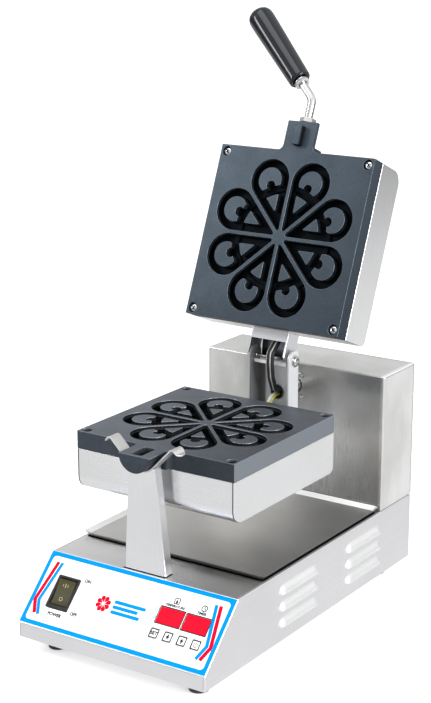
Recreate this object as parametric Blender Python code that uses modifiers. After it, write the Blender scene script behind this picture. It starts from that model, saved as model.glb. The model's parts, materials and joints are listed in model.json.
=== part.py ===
"""Counter-top rotary waffle baker: a box-shaped base with a sloping control panel, a rear
housing that carries a horizontal turning shaft, and a pair of hinged moulded plates that turn
together about that shaft.  The lid stands open.

Metres, +Z up, front of the machine towards -Y, right towards +X.  The origin is on the table
under the middle of the whole machine's bounding box, lid open.  Until the last step everything
is laid out about the middle of the base; the lid's pieces are laid out closed."""
import math
import bpy
import bmesh
from mathutils import Matrix, Vector

# ------------------------------------------------------------------ driving dimensions
HALF_W = 0.125             # half width of base and rear housing
HALF_L = 0.2261            # half length of base
FOOT_H = 0.0167            # rubber foot height
FLOOR_Z = 0.0170           # underside of the base
LIP_Z = 0.0346             # top of the vertical front lip
SLOPE_TOP_Y = -0.1624      # where the sloping panel meets the deck
DECK_Z = 0.0987
HOUSING_TOP = 0.2669       # top of the rear housing
WALL_Y = 0.150             # front wall of the rear housing
SHEET = 0.0012             # sheet steel
GAP = 0.0003               # clearance between touching pieces
SHIFT_Y = -0.0054          # final move that centres the bounding box on the origin

AXIS_Z = 0.2385            # turning axis, also the moulded face of the lower plate
PLATE_HALF_W = 0.1047
PLATE_FRONT = -0.1410      # free end of the closed plates
PLATE_REAR = 0.0684        # hinge end of the closed plates
PLATE_T = 0.0207
UPPER_FACE = AXIS_Z + 0.0005   # moulded face of the closed upper plate
LUG_R = 0.0200             # the two half-round lugs make one 40 mm journal
LUG_FRONT = -0.1768        # front end of the lugs

HINGE_Y, HINGE_Z = 0.1000, 0.2834    # lid hinge axis, parallel to X
OPEN_ANGLE = math.radians(112.5)     # the lid at rest leans back on its stop

SHAFT_R, SHAFT_BORE_R = 0.0110, 0.0085
CHANNEL_LEFT, CHANNEL_RIGHT = -0.0230, 0.0320    # a little to the right of the shaft
CHANNEL_FRONT, CHANNEL_REAR = 0.0862, 0.1096

# ------------------------------------------------------------------ looks
STEEL = dict(color=(0.72, 0.73, 0.74), roughness=0.32, metallic=1.0)
PTFE = dict(color=(0.085, 0.105, 0.125), roughness=0.48, metallic=0.2)
ZINC = dict(color=(0.62, 0.62, 0.60), roughness=0.35, metallic=1.0)
CHROME = dict(color=(0.80, 0.80, 0.80), roughness=0.12, metallic=1.0)
BLACK = dict(color=(0.015, 0.015, 0.017), roughness=0.35, metallic=0.0)
RUBBER = dict(color=(0.02, 0.02, 0.02), roughness=0.75, metallic=0.0)
WHITE = dict(color=(0.86, 0.87, 0.88), roughness=0.40, metallic=0.0)
RED = dict(color=(0.75, 0.01, 0.03), roughness=0.25, metallic=0.0)
GREEN = dict(color=(0.02, 0.20, 0.08), roughness=0.45, metallic=0.0)
DARK_METAL = dict(color=(0.20, 0.17, 0.15), roughness=0.55, metallic=0.9)

# ------------------------------------------------------------------ clean start
for ob in list(bpy.data.objects):
    bpy.data.objects.remove(ob, do_unlink=True)
PARTS = bpy.data.collections.new("rotary_waffle_baker")
HELPERS = bpy.data.collections.new("cutters")
bpy.context.scene.collection.children.link(PARTS)
bpy.context.scene.collection.children.link(HELPERS)


# ------------------------------------------------------------------ shape helpers
def material(name, color, roughness, metallic):
    mat = bpy.data.materials.new(name)
    mat.use_nodes = True
    shader = mat.node_tree.nodes["Principled BSDF"]
    shader.inputs["Base Color"].default_value = (*color, 1.0)
    shader.inputs["Roughness"].default_value = roughness
    shader.inputs["Metallic"].default_value = metallic
    mat.diffuse_color = (*color, 1.0)
    return mat


def place(name, mesh, look=None):
    """A mesh with a look is a piece of the machine; without one it is a boolean helper."""
    ob = bpy.data.objects.new(name, mesh)
    if look:
        PARTS.objects.link(ob)
        mesh.materials.append(material(name, **look))
    else:
        HELPERS.objects.link(ob)
        ob.hide_render = True
        ob.display_type = "WIRE"
    return ob


def finish(name, bm, look=None, smooth=None):
    """Turn a bmesh into an object; edges sharper than smooth degrees stay sharp."""
    bmesh.ops.recalc_face_normals(bm, faces=bm.faces[:])
    mesh = bpy.data.meshes.new(name)
    bm.to_mesh(mesh)
    bm.free()
    if smooth:
        mesh.shade_smooth()
        mesh.set_sharp_from_angle(angle=math.radians(smooth))
    return place(name, mesh, look)


def box(name, x_span, y_span, z_span, look=None, frame=Matrix.Identity(4)):
    spans = (x_span, y_span, z_span)
    bm = bmesh.new()
    bmesh.ops.create_cube(bm, size=1.0)
    centre = Matrix.Translation([(low + high) / 2 for low, high in spans])
    size = Matrix.Diagonal([high - low for low, high in spans] + [1.0])
    bmesh.ops.transform(bm, matrix=frame @ centre @ size, verts=bm.verts[:])
    return finish(name, bm, look)


def rod(name, start, end, radius, end_radius=None, segments=24, look=None, turn=0.0):
    """Cylinder or cone from start to end, turned about its own axis."""
    start, end = Vector(start), Vector(end)
    bm = bmesh.new()
    bmesh.ops.create_cone(bm, cap_ends=True, segments=segments, radius1=radius,
                          radius2=radius if end_radius is None else end_radius,
                          depth=(end - start).length)
    aim = (end - start).to_track_quat("Z", "Y").to_matrix().to_4x4()
    matrix = Matrix.Translation((start + end) / 2) @ aim @ Matrix.Rotation(turn, 4, "Z")
    bmesh.ops.transform(bm, matrix=matrix, verts=bm.verts[:])
    return finish(name, bm, look, smooth=40)


def rod_y(name, x, z, start, end, radius, **options):
    return rod(name, (x, start, z), (x, end, z), radius, **options)


def rod_z(name, x, y, start, end, radius, **options):
    return rod(name, (x, y, start), (x, y, end), radius, **options)


def hinge_rod(name, start, end, radius, segments=16, **options):
    """Rod along X on the lid's hinge axis."""
    return rod(name, (start, HINGE_Y, HINGE_Z), (end, HINGE_Y, HINGE_Z), radius,
               segments=segments, **options)


def curve_to_mesh(name, curve, matrix, look=None, smooth=None):
    """A filled or bevelled curve becomes a closed mesh; the curve is removed."""
    carrier = bpy.data.objects.new(name + "_curve", curve)
    PARTS.objects.link(carrier)
    bpy.context.view_layer.update()
    depsgraph = bpy.context.evaluated_depsgraph_get()
    mesh = bpy.data.meshes.new_from_object(carrier.evaluated_get(depsgraph))
    bpy.data.objects.remove(carrier, do_unlink=True)
    bpy.data.curves.remove(curve)
    bm = bmesh.new()
    bm.from_mesh(mesh)
    bpy.data.meshes.remove(mesh)
    bmesh.ops.remove_doubles(bm, verts=bm.verts[:], dist=1e-6)
    bmesh.ops.transform(bm, matrix=matrix, verts=bm.verts[:])
    return finish(name, bm, look, smooth)


def add_spline(curve, points):
    spline = curve.splines.new("POLY")
    spline.points.add(len(points) - 1)
    for slot, point in zip(spline.points, points):
        slot.co = (*point, 1.0)
    return spline


def outline(name, loop, start, end, frame, look=None, smooth=None, holes=()):
    """Flat outline in the frame's XY, thick from start to end along the frame's Z."""
    curve = bpy.data.curves.new(name, "CURVE")
    curve.dimensions = "2D"
    curve.fill_mode = "BOTH"
    curve.extrude = abs(end - start) / 2
    for flat in (loop, *holes):
        add_spline(curve, [(x, y, 0.0) for x, y in flat]).use_cyclic_u = True
    middle = Matrix.Translation((0, 0, (start + end) / 2))
    return curve_to_mesh(name, curve, frame @ middle, look, smooth)


def tube(name, points, radius, look, resolution):
    curve = bpy.data.curves.new(name, "CURVE")
    curve.dimensions = "3D"
    curve.bevel_depth = radius
    curve.bevel_resolution = resolution
    curve.use_fill_caps = True
    add_spline(curve, points)
    return curve_to_mesh(name, curve, Matrix.Identity(4), look, smooth=50)


def boolean(ob, operation, tools):
    for tool in tools:
        mod = ob.modifiers.new(operation.lower(), "BOOLEAN")
        mod.operation = operation
        mod.solver = "EXACT"
        mod.object = tool


def cut(ob, *tools):
    boolean(ob, "DIFFERENCE", tools)


def join(ob, *tools):
    boolean(ob, "UNION", tools)
    for tool in tools:
        tool.name = "add_" + tool.name


def arc(centre_x, centre_y, radius, start, end, steps):
    """steps + 1 points on an arc, angles in degrees."""
    angles = [math.radians(start + (end - start) * i / steps) for i in range(steps + 1)]
    return [(centre_x + radius * math.cos(angle), centre_y + radius * math.sin(angle))
            for angle in angles]


def corner_arc(before, corner, after, radius, steps):
    """Points of the arc that rounds a corner between two neighbouring points."""
    to_before = (before - corner).normalized()
    to_after = (after - corner).normalized()
    half = to_before.angle(to_after) / 2
    reach = radius / math.tan(half)
    centre = corner + (to_before + to_after).normalized() * (radius / math.sin(half))
    first = corner + to_before * reach - centre
    last = corner + to_after * reach - centre
    sweep = first.angle(last)
    return [centre + (first * math.sin((1 - i / steps) * sweep)
                      + last * math.sin(i / steps * sweep)) / math.sin(sweep)
            for i in range(steps + 1)]


def rounded(points, steps):
    """Closed polygon from (x, y, radius) corners; a zero radius keeps a corner sharp."""
    flat = [Vector(point[:2]) for point in points]
    loop = []
    for i, (x, y, radius) in enumerate(points):
        if radius > 0:
            after = flat[(i + 1) % len(flat)]
            loop += corner_arc(flat[i - 1], flat[i], after, radius, steps)
        else:
            loop.append((x, y))
    return loop


def bend(points, radius, steps):
    """3-D polyline whose inner corners are replaced by arcs."""
    path = [Vector(point) for point in points]
    bent = [path[0]]
    for before, corner, after in zip(path, path[1:], path[2:]):
        bent += corner_arc(before, corner, after, radius, steps)
    return bent + [path[-1]]


# frames for outlines, named by the plane they are drawn in
IN_YZ = Matrix(((0, 0, 1, 0), (1, 0, 0, 0), (0, 1, 0, 0), (0, 0, 0, 1)))     # thick along X
IN_XZ = Matrix(((1, 0, 0, 0), (0, 0, -1, 0), (0, 1, 0, 0), (0, 0, 0, 1)))    # thick along -Y
IN_XY = Matrix.Identity(4)                                                   # thick along Z

# panel frame: X across, Y up the slope from the lip, Z out of the panel
PANEL_LEN = math.hypot(SLOPE_TOP_Y + HALF_L, DECK_Z - LIP_Z)
up_slope = Vector((0, SLOPE_TOP_Y + HALF_L, DECK_Z - LIP_Z)).normalized()
outward = Vector((1, 0, 0)).cross(up_slope)
PANEL = Matrix(((1, 0, 0, 0), (0, up_slope.y, outward.y, -HALF_L),
                (0, up_slope.z, outward.z, LIP_Z), (0, 0, 0, 1)))


def panel_box(name, x, y, width, height, z_span, look=None):
    """Box centred on x, y in the panel frame."""
    return box(name, (x - width / 2, x + width / 2), (y - height / 2, y + height / 2), z_span,
               look, PANEL)


# ------------------------------------------------------------------ base shell
chassis = outline("chassis", [(-HALF_L, FLOOR_Z), (HALF_L, FLOOR_Z), (HALF_L, DECK_Z),
                              (SLOPE_TOP_Y, DECK_Z), (-HALF_L, LIP_Z)],
                  -HALF_W, HALF_W, IN_YZ, STEEL)

# pressed louvres on both sides: hollow hoods that open downwards
LOUVRE_Z = (0.0745, 0.0552, 0.0360)
LOUVRE_Y = ((-0.0800, 0.0000), (0.0665, 0.1475))
LOUVRE_END = 0.0015        # wall at each end of a hood
# sections: distance out from the side wall, height above the louvre's lower edge
HOOD = ((-0.0006, 0.0), (0.0042, 0.0), (0.0042, 0.0035), (0.0024, 0.0078), (-0.0006, 0.0104))
THROAT = ((-0.0030, -0.0010), (0.0031, -0.0010), (0.0031, 0.0031), (0.0014, 0.0066),
          (-0.0030, 0.0086))


def louvre_part(name, section, side, z, front, rear):
    loop = [(side * (HALF_W + out), z + up) for out, up in section]
    return outline(name, loop, -rear, -front, IN_XZ)


hoods, throats = [], []
for letter, side in (("r", 1), ("l", -1)):
    for i, (front, rear) in enumerate(LOUVRE_Y):
        for j, z in enumerate(LOUVRE_Z):
            tag = "%s%d%d" % (letter, i, j)
            hoods.append(louvre_part("hood_" + tag, HOOD, side, z, front, rear))
            throats.append(louvre_part("throat_" + tag, THROAT, side, z, front + LOUVRE_END,
                                       rear - LOUVRE_END))
join(chassis, *hoods)
SLOPE_INSET = SHEET * 0.42     # moves the hollow's two slope corners in from the outer ones
hollow = outline("hollow", [(-HALF_L + SHEET, FLOOR_Z - 0.002), (HALF_L - SHEET, FLOOR_Z - 0.002),
                            (HALF_L - SHEET, DECK_Z - SHEET),
                            (SLOPE_TOP_Y + SLOPE_INSET, DECK_Z - SHEET),
                            (-HALF_L + SHEET, LIP_Z - SLOPE_INSET)],
                 -HALF_W + SHEET, HALF_W - SHEET, IN_YZ)
cut(chassis, hollow, *throats)

# what sits in the panel, in the panel frame
SWITCH_X, SWITCH_Y, SWITCH_W, SWITCH_H = -0.0855, 0.0445, 0.0298, 0.0396
DISPLAY_W, DISPLAY_H = 0.0306, 0.0184
DISPLAYS = [(name, x, y, DISPLAY_W, DISPLAY_H) for name, x, y in (
    ("display_temperature", 0.0559, 0.0515), ("display_timer", 0.0898, 0.0512))]
KEY_Y, KEY_SIZE = 0.0298, 0.0118
KEYS = [(name, x, KEY_Y, KEY_SIZE, KEY_SIZE) for name, x in (
    ("key_set", 0.0458), ("key_down", 0.0637), ("key_up", 0.0817), ("key_start", 0.0995))]


def cut_windows(target, prefix):
    """Openings for the displays and keys."""
    for name, x, y, width, height in DISPLAYS + KEYS:
        cut(target, panel_box(prefix + name, x, y, width + 2 * GAP, height + 2 * GAP,
                              (-0.006, 0.006)))


cut(chassis, panel_box("hole_switch", SWITCH_X, SWITCH_Y, 0.0270, 0.0360, (-0.01, 0.01)))
cut_windows(chassis, "hole_")
cut(chassis, rod_z("hole_deck_wires", 0.060, 0.190, DECK_Z - 0.01, DECK_Z + 0.01, 0.014,
                   segments=16))
INLET_X, INLET_Z = 0.078, 0.058


def inlet_box(name, half_w, y_span, half_h, look=None):
    """Box centred on the mains inlet."""
    return box(name, (INLET_X - half_w, INLET_X + half_w), y_span,
               (INLET_Z - half_h, INLET_Z + half_h), look)


cut(chassis, inlet_box("hole_inlet", 0.0140, (HALF_L - 0.01, HALF_L + 0.01), 0.0100))

inset = SHEET + GAP
bottom = box("bottom_plate", (-HALF_W + inset, HALF_W - inset), (-HALF_L + inset, HALF_L - inset),
             (FLOOR_Z, FLOOR_Z + SHEET), STEEL)
for i, x in enumerate((-0.045, -0.015, 0.015, 0.045)):
    cut(bottom, box("vent_%d" % i, (x - 0.004, x + 0.004), (-0.05, 0.05),
                    (FLOOR_Z - 0.01, FLOOR_Z + 0.01)))

FOOT_X, FOOT_Y = 0.0955, 0.1940
for end, y in (("front", -FOOT_Y), ("rear", FOOT_Y)):
    for side, x in (("left", -FOOT_X), ("right", FOOT_X)):
        name = "foot_%s_%s" % (end, side)
        foot = rod_z(name, x, y, 0.0, FOOT_H, 0.0110, end_radius=0.0135, segments=20, look=RUBBER)
        cut(foot, rod_z("pocket_" + name, x, y, -0.002, 0.010, 0.0045, segments=10))

# ------------------------------------------------------------------ control panel
LABEL_HALF_W, LABEL_LOW, LABEL_TOP = 0.1242, 0.0012, PANEL_LEN - 0.0010
label = outline("control_label", [(-LABEL_HALF_W, LABEL_LOW), (LABEL_HALF_W, LABEL_LOW),
                                  (LABEL_HALF_W, LABEL_TOP), (-LABEL_HALF_W, LABEL_TOP)],
                GAP, GAP + 0.0004, PANEL, WHITE)
cut(label, panel_box("lab_switch", SWITCH_X, SWITCH_Y, SWITCH_W + 2 * GAP, SWITCH_H + 2 * GAP,
                     (-0.01, 0.01)))
cut_windows(label, "lab_")

# power switch: bezel, body behind the panel, and the tilted rocker in its pocket
ROCKER_Y = SWITCH_Y + 0.0008
ROCKER_TILT = math.radians(8.0)
housing = panel_box("switch_housing", SWITCH_X, SWITCH_Y, SWITCH_W, SWITCH_H, (GAP, 0.0022), BLACK)
join(housing, panel_box("switch_body", SWITCH_X, SWITCH_Y, 0.0264, 0.0354, (-0.0240, 0.0015)))
cut(housing, panel_box("switch_pocket", SWITCH_X, ROCKER_Y, 0.0236, 0.0308, (-0.0105, 0.01)))
# rocker section: distance up the panel, distance out of it, before tilting
ROCKER = [(-0.0146, 0.0026), (-0.0138, -0.0030), (-0.0060, -0.0072), (0.0060, -0.0072),
          (0.0138, -0.0030), (0.0146, 0.0026), (0.0070, 0.0012), (0.0, 0.0007), (-0.0070, 0.0012)]
rocker_frame = (PANEL @ Matrix.Translation((SWITCH_X, ROCKER_Y, 0))
                @ Matrix.Rotation(ROCKER_TILT, 4, "X") @ IN_YZ)
outline("rocker_switch", ROCKER, -0.0114, 0.0114, rocker_frame, BLACK)

for display in DISPLAYS:
    panel_box(*display, (-0.0080, 0.0006), RED)
board = box("control_board", (0.0310, 0.1120), (0.0180, 0.0700), (-0.0115, -0.0099), GREEN, PANEL)
for i, key in enumerate(KEYS):
    panel_box(*key, (-0.0030, 0.0012), WHITE)
    join(board, panel_box("tact_%d" % i, key[1], KEY_Y, 0.006, 0.006, (-0.0105, -0.0040)))

# ------------------------------------------------------------------ electrics on the base floor
power = box("power_board", (-0.075, 0.015), (-0.060, 0.050), (0.0240, 0.0256), GREEN)
join(power, box("relay_a", (-0.066, -0.046), (-0.050, -0.022), (0.0250, 0.0420)),
     box("relay_b", (-0.036, -0.016), (-0.050, -0.022), (0.0250, 0.0420)),
     box("fuse", (-0.066, -0.030), (0.020, 0.030), (0.0250, 0.0340)))
box("transformer", (0.040, 0.095), (-0.050, 0.000), (0.0190, 0.0560), DARK_METAL)
terminals = box("terminal_block", (0.030, 0.100), (0.080, 0.100), (0.0190, 0.0360), WHITE)
SLOT_PITCH = 0.013
for i in range(5):
    x = 0.034 + i * SLOT_PITCH
    cut(terminals, box("slot_%d" % i, (x, x + 0.010), (0.075, 0.088), (0.028, 0.040)))
inlet = inlet_box("mains_inlet", 0.0137, (HALF_L - 0.020, HALF_L + 0.0015), 0.0097, BLACK)
join(inlet, inlet_box("inlet_flange", 0.0245, (HALF_L + GAP, HALF_L + 0.0030), 0.0115))
cut(inlet, inlet_box("inlet_pocket", 0.0117, (HALF_L - 0.014, HALF_L + 0.01), 0.0079))

# ------------------------------------------------------------------ rear housing
rear_housing = box("rear_housing", (-HALF_W, HALF_W), (WALL_Y, HALF_L - SHEET - GAP),
                   (DECK_Z + GAP, HOUSING_TOP), STEEL)
cut(rear_housing, box("rear_hollow", (-HALF_W + SHEET, HALF_W - SHEET),
                      (WALL_Y + SHEET, HALF_L + 0.01), (DECK_Z - 0.01, HOUSING_TOP - SHEET)),
    rod_y("rear_shaft_hole", 0, AXIS_Z, WALL_Y - 0.01, WALL_Y + 0.01, SHAFT_R + 0.0012))
# bolt holes round the shaft: x, height above the axis
BOLTS = ((-0.0105, -0.0158), (0.0105, -0.0158), (0.0105, 0.0120), (-0.0105, 0.0120))
for i, (x, up) in enumerate(BOLTS):
    cut(rear_housing, rod_y("wall_bolt_hole_%d" % i, x, AXIS_Z + up, WALL_Y - 0.01, WALL_Y + 0.01,
                            0.0024, segments=10))
# only the two bolts on the right are there
for i in (1, 2):
    x, up = BOLTS[i]
    bolt = rod_y("wall_bolt_%d" % i, x, AXIS_Z + up, WALL_Y - 0.0040, WALL_Y - GAP, 0.0042,
                 segments=12, look=ZINC)
    join(bolt, rod_y("wall_bolt_shank_%d" % i, x, AXIS_Z + up, WALL_Y - 0.0010, WALL_Y + SHEET,
                     0.0020, segments=8))

rear_cover = box("rear_cover", (-HALF_W, HALF_W), (HALF_L - SHEET, HALF_L),
                 (DECK_Z + GAP, HOUSING_TOP), STEEL)
VENT_PITCH = 0.012
for i in range(5):
    z = 0.130 + i * VENT_PITCH
    cut(rear_cover, box("rear_vent_%d" % i, (-0.045, 0.045), (HALF_L - 0.01, HALF_L + 0.01),
                        (z, z + 0.004)))

# ------------------------------------------------------------------ bearings and shaft
BLOCK_FRONT, BLOCK_REAR = WALL_Y + SHEET + GAP, 0.2000
BEARING_LEN = 0.0100
block = box("bearing_block", (-0.0290, 0.0290), (BLOCK_FRONT, BLOCK_REAR),
            (AXIS_Z - 0.0290, AXIS_Z + 0.0265), DARK_METAL)
cut(block, rod_y("block_bore", 0, AXIS_Z, BLOCK_FRONT - 0.01, BLOCK_REAR + 0.01, 0.0186))
for name, front in (("bearing_front", BLOCK_FRONT + 0.0010),
                    ("bearing_rear", BLOCK_REAR - 0.0010 - BEARING_LEN)):
    rear = front + BEARING_LEN
    bearing = rod_y(name, 0, AXIS_Z, front, rear, 0.0181, look=CHROME)
    cut(bearing, rod_y("bore_" + name, 0, AXIS_Z, front - 0.01, rear + 0.01, SHAFT_R + GAP))
SHAFT_FRONT = CHANNEL_REAR + GAP
shaft = rod_y("turn_shaft", 0, AXIS_Z, SHAFT_FRONT, 0.2080, SHAFT_R, look=ZINC)
join(shaft, rod_y("shaft_flange", 0, AXIS_Z, SHAFT_FRONT, SHAFT_FRONT + 0.0050, 0.0240))
cut(shaft, rod_y("shaft_bore", 0, AXIS_Z, 0.10, 0.22, SHAFT_BORE_R, segments=16))
collar = rod_y("shaft_collar", 0, AXIS_Z, BLOCK_REAR + 0.0005, BLOCK_REAR + 0.0075, 0.0170,
               look=ZINC)
cut(collar, rod_y("collar_bore", 0, AXIS_Z, 0.19, 0.22, SHAFT_R + GAP))

# ------------------------------------------------------------------ front support (cradle)
POST_FOOT_Y, POST_HEAD_Y = -0.1590, -0.1640      # the front face leans forward a little
POST_FOOT_Z, POST_HEAD_Z = DECK_Z + GAP, 0.2225
FOOT_HALF_W, HEAD_HALF_W = 0.0278, 0.0172
POST_WALL = 0.0015
lean = math.atan2(POST_FOOT_Y - POST_HEAD_Y, POST_HEAD_Z - POST_FOOT_Z)
post_len = (POST_HEAD_Z - POST_FOOT_Z) / math.cos(lean)
post_frame = (Matrix.Translation((0, POST_FOOT_Y, POST_FOOT_Z))
              @ Matrix.Rotation(lean, 4, "X") @ IN_XZ)


def post_part(name, inset, low, high, back, front, look=None):
    foot, head = FOOT_HALF_W - inset, HEAD_HALF_W - inset
    return outline(name, [(-foot, low), (foot, low), (head, high), (-head, high)],
                   back, front, post_frame, look)


post = post_part("cradle_post", 0, 0.0006, post_len, -0.0130, 0.0, STEEL)
cut(post, post_part("post_hollow", POST_WALL, -0.01, post_len + 0.01, -0.03, -POST_WALL))

# bent strip: an arc under the lugs with a straight wing and a turned-down tip on each side
SADDLE_R = LUG_R + 0.0006
STRIP_T = 0.0016
DIAGONAL = math.sqrt(0.5)
inner_arc = arc(0, AXIS_Z, SADDLE_R, -135, -45, 8)
outer_arc = arc(0, AXIS_Z, SADDLE_R + STRIP_T, -45, -135, 8)
wing = Vector((DIAGONAL, DIAGONAL))
wing_in = Vector(inner_arc[-1]) + wing * 0.0355
wing_out = Vector(outer_arc[0]) + wing * 0.0338
tip = wing_in + Vector((0.00713, -0.00713))
right = [(wing_in.x, wing_in.y), (wing_in.x + 0.0022, wing_in.y + 0.0004),
         (tip.x + 0.0018, tip.y + 0.0012), (tip.x + 0.0008, tip.y),
         (wing_out.x + 0.0010, wing_out.y - 0.0004), (wing_out.x, wing_out.y)]
left = [(-x, z) for x, z in right[::-1]]
outline("cradle_strip", inner_arc + right + outer_arc + left, 0.1480, 0.1650, IN_XZ, STEEL)
cut(post, rod_y("post_saddle", 0, AXIS_Z, -0.20, -0.12, SADDLE_R + STRIP_T + 0.0003, segments=32),
    outline("post_vee", [(-0.06, AXIS_Z + 0.03145), (0, AXIS_Z - 0.03165),
                         (0.06, AXIS_Z + 0.02835), (0.06, AXIS_Z + 0.2), (-0.06, AXIS_Z + 0.2)],
            0.12, 0.20, IN_XZ))

# ------------------------------------------------------------------ drip tray
TRAY_HALF_W, TRAY_FRONT, TRAY_REAR, TRAY_Z = 0.1190, -0.1060, 0.1435, DECK_Z + 0.0006
TRAY_T = 0.0010
RIM_H, RIM_FLARE = 0.0062, 0.0050


def tray_frustum(name, base_z, inset):
    """Block whose sides flare outwards as they rise."""
    bm = bmesh.new()
    bmesh.ops.create_cube(bm, size=1.0)
    for vert in bm.verts:
        top = vert.co.z > 0
        grow = (RIM_FLARE if top else 0.0) - inset
        vert.co.x = math.copysign(TRAY_HALF_W + grow, vert.co.x)
        vert.co.y = TRAY_REAR + grow if vert.co.y > 0 else TRAY_FRONT - grow
        vert.co.z = base_z + (RIM_H if top else 0.0)
    return finish(name, bm)


tray = box("drip_tray", (-TRAY_HALF_W, TRAY_HALF_W), (TRAY_FRONT, TRAY_REAR),
           (TRAY_Z, TRAY_Z + TRAY_T), STEEL)
join(tray, tray_frustum("tray_rim", TRAY_Z, 0.0))
cut(tray, tray_frustum("tray_well", TRAY_Z + TRAY_T, TRAY_T))

# ------------------------------------------------------------------ moulded plates
PETALS = 8
HALF_PETAL = 180 / PETALS  # degrees
MOULD_DEPTH = 0.0120
PETAL_HEAD_R = 0.0256
PETAL_HEAD_X = 0.0723      # from the plate's centre to the centre of a petal head
RIB = 0.0020               # half thickness of the rib between two petals
PETAL_TIP_R = 0.0022       # rounding of the petal's inner tip
CHANNEL_W = 0.0103         # width of the groove that makes the petal's outline
RING_IN, RING_OUT = 0.0525, 0.0635   # the cross bar of each petal follows this ring
KNOB_R, KNOB_X = 0.0057, 0.0655      # round boss on the cross bar
PLATE_MID_Y = (PLATE_FRONT + PLATE_REAR) / 2
LUG_STOCK = LUG_R + 0.0006           # half width of the lug before it is rounded
COVER_DEPTH = 0.0485
# position and name of each corner screw
SCREWS = [(-0.0965, PLATE_FRONT + 0.0080, "front_left"),
          (0.0965, PLATE_FRONT + 0.0080, "front_right"),
          (0.0965, PLATE_REAR - 0.0080, "rear_right"), (-0.0965, PLATE_REAR - 0.0080, "rear_left")]


def ring_crossing(radius, centre_x):
    """Where a circle crosses the outer ring: degrees about the plate and about the circle."""
    x = (RING_OUT ** 2 - radius ** 2 + centre_x ** 2) / (2 * centre_x)
    y = math.sqrt(RING_OUT ** 2 - x ** 2)
    return math.degrees(math.atan2(y, x)), math.degrees(math.atan2(y, x - centre_x))


def petal(index):
    """Loops of one petal in plan: its outline, then the two islands left standing in it."""
    half_sine = math.sin(math.radians(HALF_PETAL))
    outer = arc(PETAL_HEAD_X, 0, PETAL_HEAD_R, -90 - HALF_PETAL, 90 + HALF_PETAL, 12)
    outer += arc((RIB + PETAL_TIP_R) / half_sine, 0, PETAL_TIP_R,
                 90 + HALF_PETAL, 270 - HALF_PETAL, 3)

    # crescent: circle about the head's centre, cut by the ring and by the round boss
    island_r = PETAL_HEAD_R - CHANNEL_W
    ring_end, head_end = ring_crossing(island_r, PETAL_HEAD_X)
    ring_knob, knob_end = ring_crossing(KNOB_R, KNOB_X)
    crescent = arc(PETAL_HEAD_X, 0, island_r, -head_end, head_end, 9)
    crescent += arc(0, 0, RING_OUT, ring_end, ring_knob, 2)[1:]
    crescent += arc(KNOB_X, 0, KNOB_R, knob_end, -knob_end, 5)[1:]
    crescent += arc(0, 0, RING_OUT, -ring_knob, -ring_end, 2)[1:-1]

    # triangle between the two side grooves and the ring
    offset = RIB + CHANNEL_W
    spread = HALF_PETAL - math.degrees(math.asin(offset / RING_IN))
    triangle = [(offset / half_sine, 0.0)] + arc(0, 0, RING_IN, -spread, spread, 3)

    angle = math.radians(HALF_PETAL * (2 * index + 1))
    cosine, sine = math.cos(angle), math.sin(angle)
    return [[(x * cosine - y * sine, x * sine + y * cosine + PLATE_MID_Y) for x, y in loop]
            for loop in (outer, crescent, triangle)]


def plate_outline():
    """Plate and lug in plan, with a fillet where the lug leaves the plate."""
    root = PLATE_FRONT - 0.00005
    return rounded([(-PLATE_HALF_W, PLATE_FRONT, 0), (-LUG_STOCK, root, 0.006),
                    (-LUG_STOCK, LUG_FRONT, 0), (LUG_STOCK, LUG_FRONT, 0),
                    (LUG_STOCK, root, 0.006), (PLATE_HALF_W, PLATE_FRONT, 0),
                    (PLATE_HALF_W, PLATE_REAR, 0), (-PLATE_HALF_W, PLATE_REAR, 0)], 3)


def mould_plate(name, face, away):
    """Plate with its moulded side at z=face; away is the sign of z towards its back."""
    back = face + away * PLATE_T
    over = face - away * 0.002         # where the cutters start, clear of the face
    plate = outline(name, plate_outline(), face, back, IN_XY, PTFE, smooth=30)
    # the lug is half round: what lies outside the journal radius is cut away
    far = face + away * 0.03
    waste = ([(-0.05, far), (-0.05, over), (-LUG_R, over)]
             + arc(0, face, LUG_R, 180, 180 - away * 180, 10)
             + [(LUG_R, over), (0.05, over), (0.05, far)])
    cut(plate, outline(name + "_lug_cut", waste, -PLATE_FRONT + 0.0062, -LUG_FRONT + 0.01, IN_XZ))
    for i in range(PETALS):
        outer, *islands = petal(i)
        cut(plate, outline("%s_mould_%d" % (name, i), outer, over, face + away * MOULD_DEPTH,
                           IN_XY, holes=islands))
    for i, (x, y, _) in enumerate(SCREWS):
        cut(plate, rod_z("%s_cb_%d" % (name, i), x, y, over, face + away * 0.0045, 0.0054,
                         segments=14),
            rod_z("%s_thru_%d" % (name, i), x, y, face + away * 0.0020, back + away * 0.005,
                  0.0026, segments=8))
    return plate


def cover_profile(inset, near, far):
    """Section of a cover in YZ with its two far corners rounded."""
    front, rear = PLATE_FRONT + inset, PLATE_REAR - inset
    return rounded([(front, near, 0), (front, far, 0.0165 - inset), (rear, far, 0.0080 - inset),
                    (rear, near, 0)], 5)


def sheet_cover(name, near, away):
    """Folded cover behind a plate, open towards the plate."""
    far = near + away * COVER_DEPTH
    cover = outline(name, cover_profile(0, near, far), -PLATE_HALF_W, PLATE_HALF_W, IN_YZ, STEEL,
                    smooth=30)
    inside = cover_profile(SHEET, near - away * 0.005, far - away * SHEET)
    cut(cover, outline(name + "_hollow", inside, -PLATE_HALF_W + SHEET, PLATE_HALF_W - SHEET,
                       IN_YZ))
    return cover


def heater(name, z):
    """Serpentine of five runs along Y."""
    front, rear = PLATE_FRONT + 0.030, PLATE_REAR - 0.030
    points = []
    for i in range(5):
        x = (i - 2) * 0.039
        points += [(x, rear, z), (x, front, z)] if i % 2 == 0 else [(x, front, z), (x, rear, z)]
    tube(name, bend(points, 0.0150, 3), 0.0035, DARK_METAL, 1)


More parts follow.
